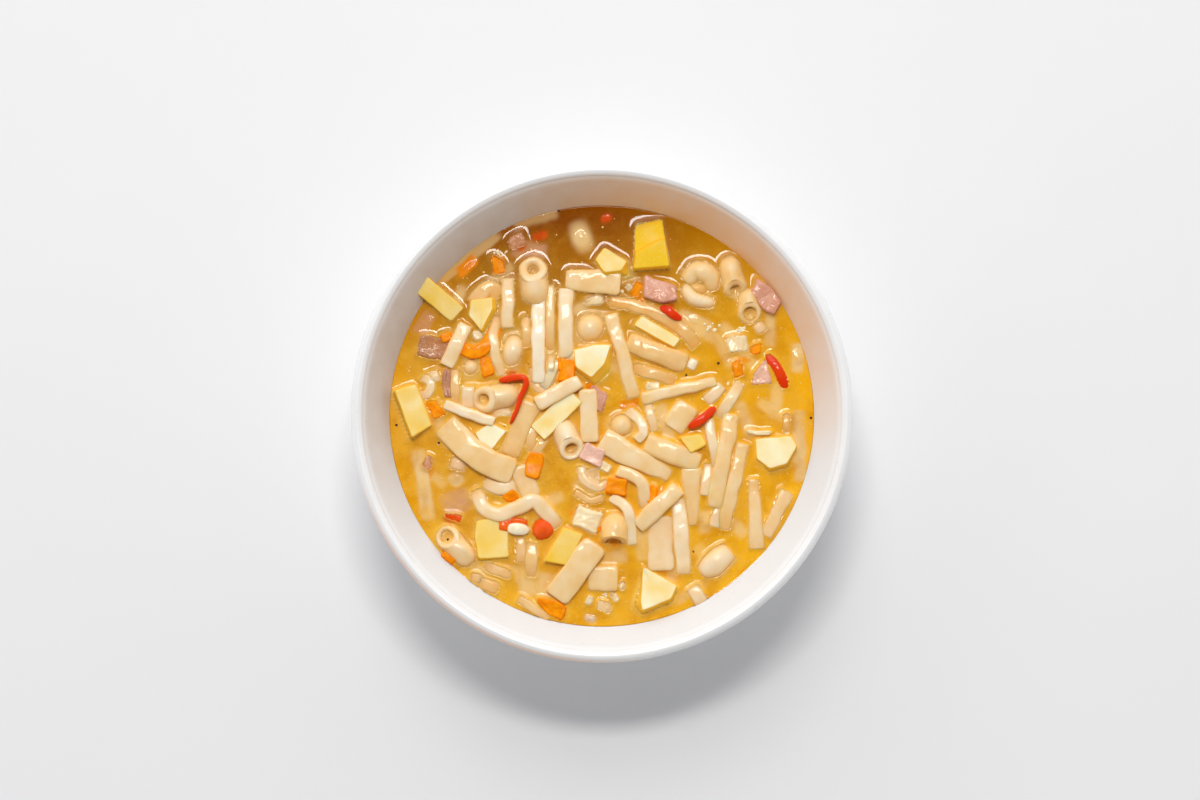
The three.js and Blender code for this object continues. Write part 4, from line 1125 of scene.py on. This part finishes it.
def add_piece(name, shape, material, nodes, attributes=None):
    """Smooth mesh on the bowl's body that takes the place of nodes of the frame."""
    points, faces = shape
    mesh = bpy.data.meshes.new(name)
    mesh.from_pydata((points * MM).tolist(), [], faces)
    mesh.polygons.foreach_set("use_smooth", [True] * len(mesh.polygons))
    for label, (kind, values) in (attributes or {}).items():
        layer = mesh.attributes.new(label, kind, "POINT")
        layer.data.foreach_set("color" if kind == "FLOAT_COLOR" else "value", values.ravel())
    mesh.materials.append(material)
    mesh.update()
    piece = bpy.data.objects.new(name, mesh)
    bpy.context.scene.collection.objects.link(piece)
    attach(piece, "root")
    if nodes:
        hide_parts(*nodes)


def add_toned(name, pieces, shapes, material, nodes):
    """One piece of several shapes, with each one's tone on its points."""
    points, faces, owners = together(shapes)
    tones = np.array([piece.get("tone", 0.5) for piece in pieces])[owners]
    add_piece(name, (points, faces), material, nodes, {"tone": ("FLOAT", tones)})


def grains(places, sizes, top, seed, sides=10, flat=0.8):
    """Small uneven round grains that float at the places."""
    return [ball(at, size, top, seed + i, sides, flat) for i, (at, size) in enumerate(zip(places, sizes))]


def foam_heap(middle, seed, count=11):
    """Places and sizes of the bubbles of one small heap of foam."""
    chance = np.random.default_rng(seed)
    places = chance.normal(middle, (1.1, 0.8), (count, 2))
    return places, chance.uniform(0.3, 0.85, count)


def ribbon(piece, seed):
    return noodle(piece, 1.7, 3.4, seed, tip=0.9, blunt=0.72, sides=28)


def strand(piece, seed):
    return noodle(piece, piece["wide"] * 0.66, 4.2, seed)


def elbow_bend(piece, seed):
    return noodle(piece, piece["wide"] * 0.86, 2.1, seed, tip=0.6, sides=28)


def tomato_skin(piece, seed):
    return noodle(piece, 1, 2.3, seed, tip=3.2, blunt=0.12)


def each(shape, pieces, seed, step=1):
    """The shape of each piece, with seeds a step apart."""
    return [shape(piece, seed=seed + step * i) for i, piece in enumerate(pieces)]


pasta = boiled_pasta()
potato = boiled_potato()
ham = cooked_ham()
carrot = boiled_carrot()
tomato = cooked_tomato()
onion = boiled_onion()

add_piece("glazed_bowl", turned(bowl_outline()), glazed_stoneware(), ["bowl"])

ribbons = each(ribbon, RIBBONS, 100, 7)
strands = each(strand, STRANDS, 300, 7)
bends = each(elbow_bend, BENDS, 600, 7)
elbows = each(elbow, ELBOWS, 700, 7)
core = core_shape()

potatoes = [cut_piece(piece, 0.45, 0.9, 20 + i, 0.07, 0.012) for i, piece in enumerate(POTATOES)]
hams = [diced(piece, 0.6, 120 + i) for i, piece in enumerate(HAM)]
carrots = [noodle(CARROT_STRIP, 2.4, 6, 219)]
carrots += [diced(piece, 0.7, 220 + i) for i, piece in enumerate(CARROTS)]
tomatoes = each(tomato_skin, TOMATO_SKINS, 320, 7)
tomatoes += [ball(**TOMATO_BALL, seed=340), diced(TOMATO_PULP, 1, 341)]
onions = [diced(ONION, 0.9, 350)]

add_toned("pasta_ribbons", RIBBONS, ribbons, pasta, ["pasta"])
add_toned("pasta_strands", STRANDS, strands, pasta, ["pasta"])
add_toned("pasta_elbows", BENDS + ELBOWS, bends + elbows, pasta, ["pasta"])
add_toned("pasta_core", [dict(tone=0.8)], [core], pasta, ["pasta"])
for kind, pieces, shapes, material in (
        ("potato", POTATOES, potatoes, potato),
        ("ham", HAM, hams, ham),
        ("carrot", [CARROT_STRIP, *CARROTS], carrots, carrot),
        ("tomato", [*TOMATO_SKINS, dict(tone=0.35), dict(tone=0.3)], tomatoes, tomato),
        ("onion", [ONION], onions, onion)):
    for i, (piece, shape) in enumerate(zip(pieces, shapes)):
        label = f"{kind}_{i + 1:02d}"
        add_toned(f"{label}_piece", [piece], [shape], material, [label])

# Small bits that have no node of their own
ham_bits = [diced(piece, 0.5, 130 + i) for i, piece in enumerate(HAM_BITS)]
carrot_bits = [diced(piece, 0.5, 240 + i) for i, piece in enumerate(CARROT_BITS)]
tomato_bits = [diced(piece, 0.4, 345 + i) for i, piece in enumerate(TOMATO_BITS)]
onion_bits = [diced(piece, 0.45, 360 + i) for i, piece in enumerate(ONION_BITS)]
seed_piece = noodle(SEED, 2, 2, 380, tip=1.75, blunt=0.03, wobble=0, pitch=0.4)
seed_skin = small_food("boiled_seed", "#fbf0d4", "#f4e2b4", 1.4, 0.4, 0.15)
for name, pieces, shapes, material, slot in (
        ("ham_bits", HAM_BITS, ham_bits, ham, "ham"),
        ("carrot_bits", CARROT_BITS, carrot_bits, carrot, "carrot"),
        ("tomato_bits", TOMATO_BITS, tomato_bits, tomato, "tomato"),
        ("onion_bits", ONION_BITS, onion_bits, onion, "onion"),
        ("white_seed", [SEED], [seed_piece], seed_skin, "onion")):
    add_toned(name, pieces, shapes, material, [])

chance = np.random.default_rng(77)
specks = grains(PEPPER, chance.uniform(0.4, 0.7, len(PEPPER)), FLOAT_TOP, 400)
heaps = [foam_heap(middle, 430 + i) for i, middle in enumerate(FOAM)]
bubble_places = np.vstack([places for places, _ in heaps])
bubble_sizes = np.concatenate([sizes for _, sizes in heaps])
foam = grains(bubble_places, bubble_sizes, FLOAT_TOP, 500)
distance = FLAKES_RADIUS * np.sqrt(chance.uniform(0, 1, STARCH_FLAKES))
azimuth = chance.uniform(0, 2 * math.pi, STARCH_FLAKES)
adrift = np.column_stack([distance * np.cos(azimuth), distance * np.sin(azimuth)])
flakes = grains(adrift, 0.2 + 0.7 * chance.uniform(0, 1, STARCH_FLAKES) ** 3, FLAKE_TOP, 1000, 8, 0.5)
for name, shapes, material in (
        ("pepper_specks", specks, small_food("ground_pepper", "#5e3216", "#34180a", 0.3, 0.6, 0)),
        ("foam_bubbles", foam, small_food("starch_foam", "#fbecca", "#f3dca8", 0.6, 0.3, 0.6)),
        ("starch_flakes", flakes, small_food("starch_flakes", "#f6d692", "#efc272", 0.8, 0.4, 0.1))):
    add_toned(name, [{}] * len(shapes), shapes, material, [])

# What lies in the broth, with the colour that each kind has under its top
GROUPS = [
    (ribbons + strands + bends + elbows, "#eec88a"),
    ([core], "#a86a18"),
    (potatoes, "#ecd47e"),
    (hams + ham_bits, "#d39a72"),
    (carrots + carrot_bits, "#f08408"),
    (tomatoes + tomato_bits, "#d8480f"),
    (onions + onion_bits + [seed_piece], "#f0dcc0"),
]
in_broth = [shape for shapes, _ in GROUPS for shape in shapes]
under_colours = np.array([linear(colour) for shapes, colour in GROUPS for _ in shapes])
places, polygons, tint = broth_shape(*together(in_broth), under_colours)
seen = {"seen": ("FLOAT_COLOR", tint)}
add_piece("golden_broth", (places, polygons), cloudy_broth(), ["broth"], seen)


# Table, light and camera

def add_table():
    """White table top that reaches out of the picture on every side."""
    half = 1.6
    mesh = bpy.data.meshes.new("table_top")
    corners = [(-half, -half, 0), (half, -half, 0), (half, half, 0), (-half, half, 0)]
    mesh.from_pydata(corners, [], [(0, 1, 2, 3)])
    mesh.materials.append(painted_table())
    table = bpy.data.objects.new("table_top", mesh)
    bpy.context.scene.collection.objects.link(table)


def add_light(name, place, width, height, power, colour):
    """Soft light of a width and height in metres at a place, which looks at the soup."""
    lamp = bpy.data.lights.new(name, "AREA")
    lamp.shape = "RECTANGLE"
    lamp.size = width
    lamp.size_y = height
    lamp.energy = power
    lamp.color = linear(colour)[:3]
    light = bpy.data.objects.new(name, lamp)
    light.location = place
    soup = Vector((0, 0, 0.04))
    light.rotation_euler = (soup - Vector(place)).to_track_quat("-Z", "Y").to_euler()
    bpy.context.scene.collection.objects.link(light)


def add_room():
    """Dim ceiling and a bright wall on the window's side, with soft light all round low down."""
    towards_window = (-0.16, 0.79, -0.55)
    room = bpy.data.worlds.new("room")
    room.use_nodes = True
    direction = node(room, "ShaderNodeTexCoord").outputs["Generated"]
    toward = node(room, "ShaderNodeVectorMath", {
        "operation": "DOT_PRODUCT", 0: direction, 1: towards_window,
    })
    from_window = between(room, toward.outputs["Value"], -0.5, 0.45, 0.04, 0.85)
    height = node(room, "ShaderNodeSeparateXYZ", {"Vector": direction}).outputs["Z"]
    low_down = between(room, height, 0.25, 0.88, 0.74, 0.0)
    brightness = node(room, "ShaderNodeMath", {"operation": "ADD", 0: from_window, 1: low_down}).outputs[0]
    sky = room.node_tree.nodes["Background"]
    sky.inputs["Color"].default_value = linear("#fbfcff")
    room.node_tree.links.new(sky.inputs["Strength"], brightness)
    bpy.context.scene.world = room


def add_camera():
    camera = bpy.data.cameras.new("camera")
    camera.lens = CAMERA_LENS
    camera.sensor_width = CAMERA_SENSOR
    view = bpy.data.objects.new("camera", camera)
    target = Vector(CAMERA_TARGET) * MM
    back = Vector((0, -math.sin(CAMERA_TILT), math.cos(CAMERA_TILT)))
    view.location = target + back * CAMERA_DISTANCE * MM
    view.rotation_euler = (-back).to_track_quat("-Z", "Y").to_euler()
    bpy.context.scene.collection.objects.link(view)
    bpy.context.scene.camera = view


add_table()
add_light("window", (-0.02, 0.455, 1.34), 0.48, 0.16, 8.3, "#fffdf9")
add_light("window_side", (-0.1, 0.8, 1.16), 0.5, 0.5, 3.0, "#ffffff")
add_room()
bpy.context.scene.view_settings.view_transform = "Standard"
add_camera()
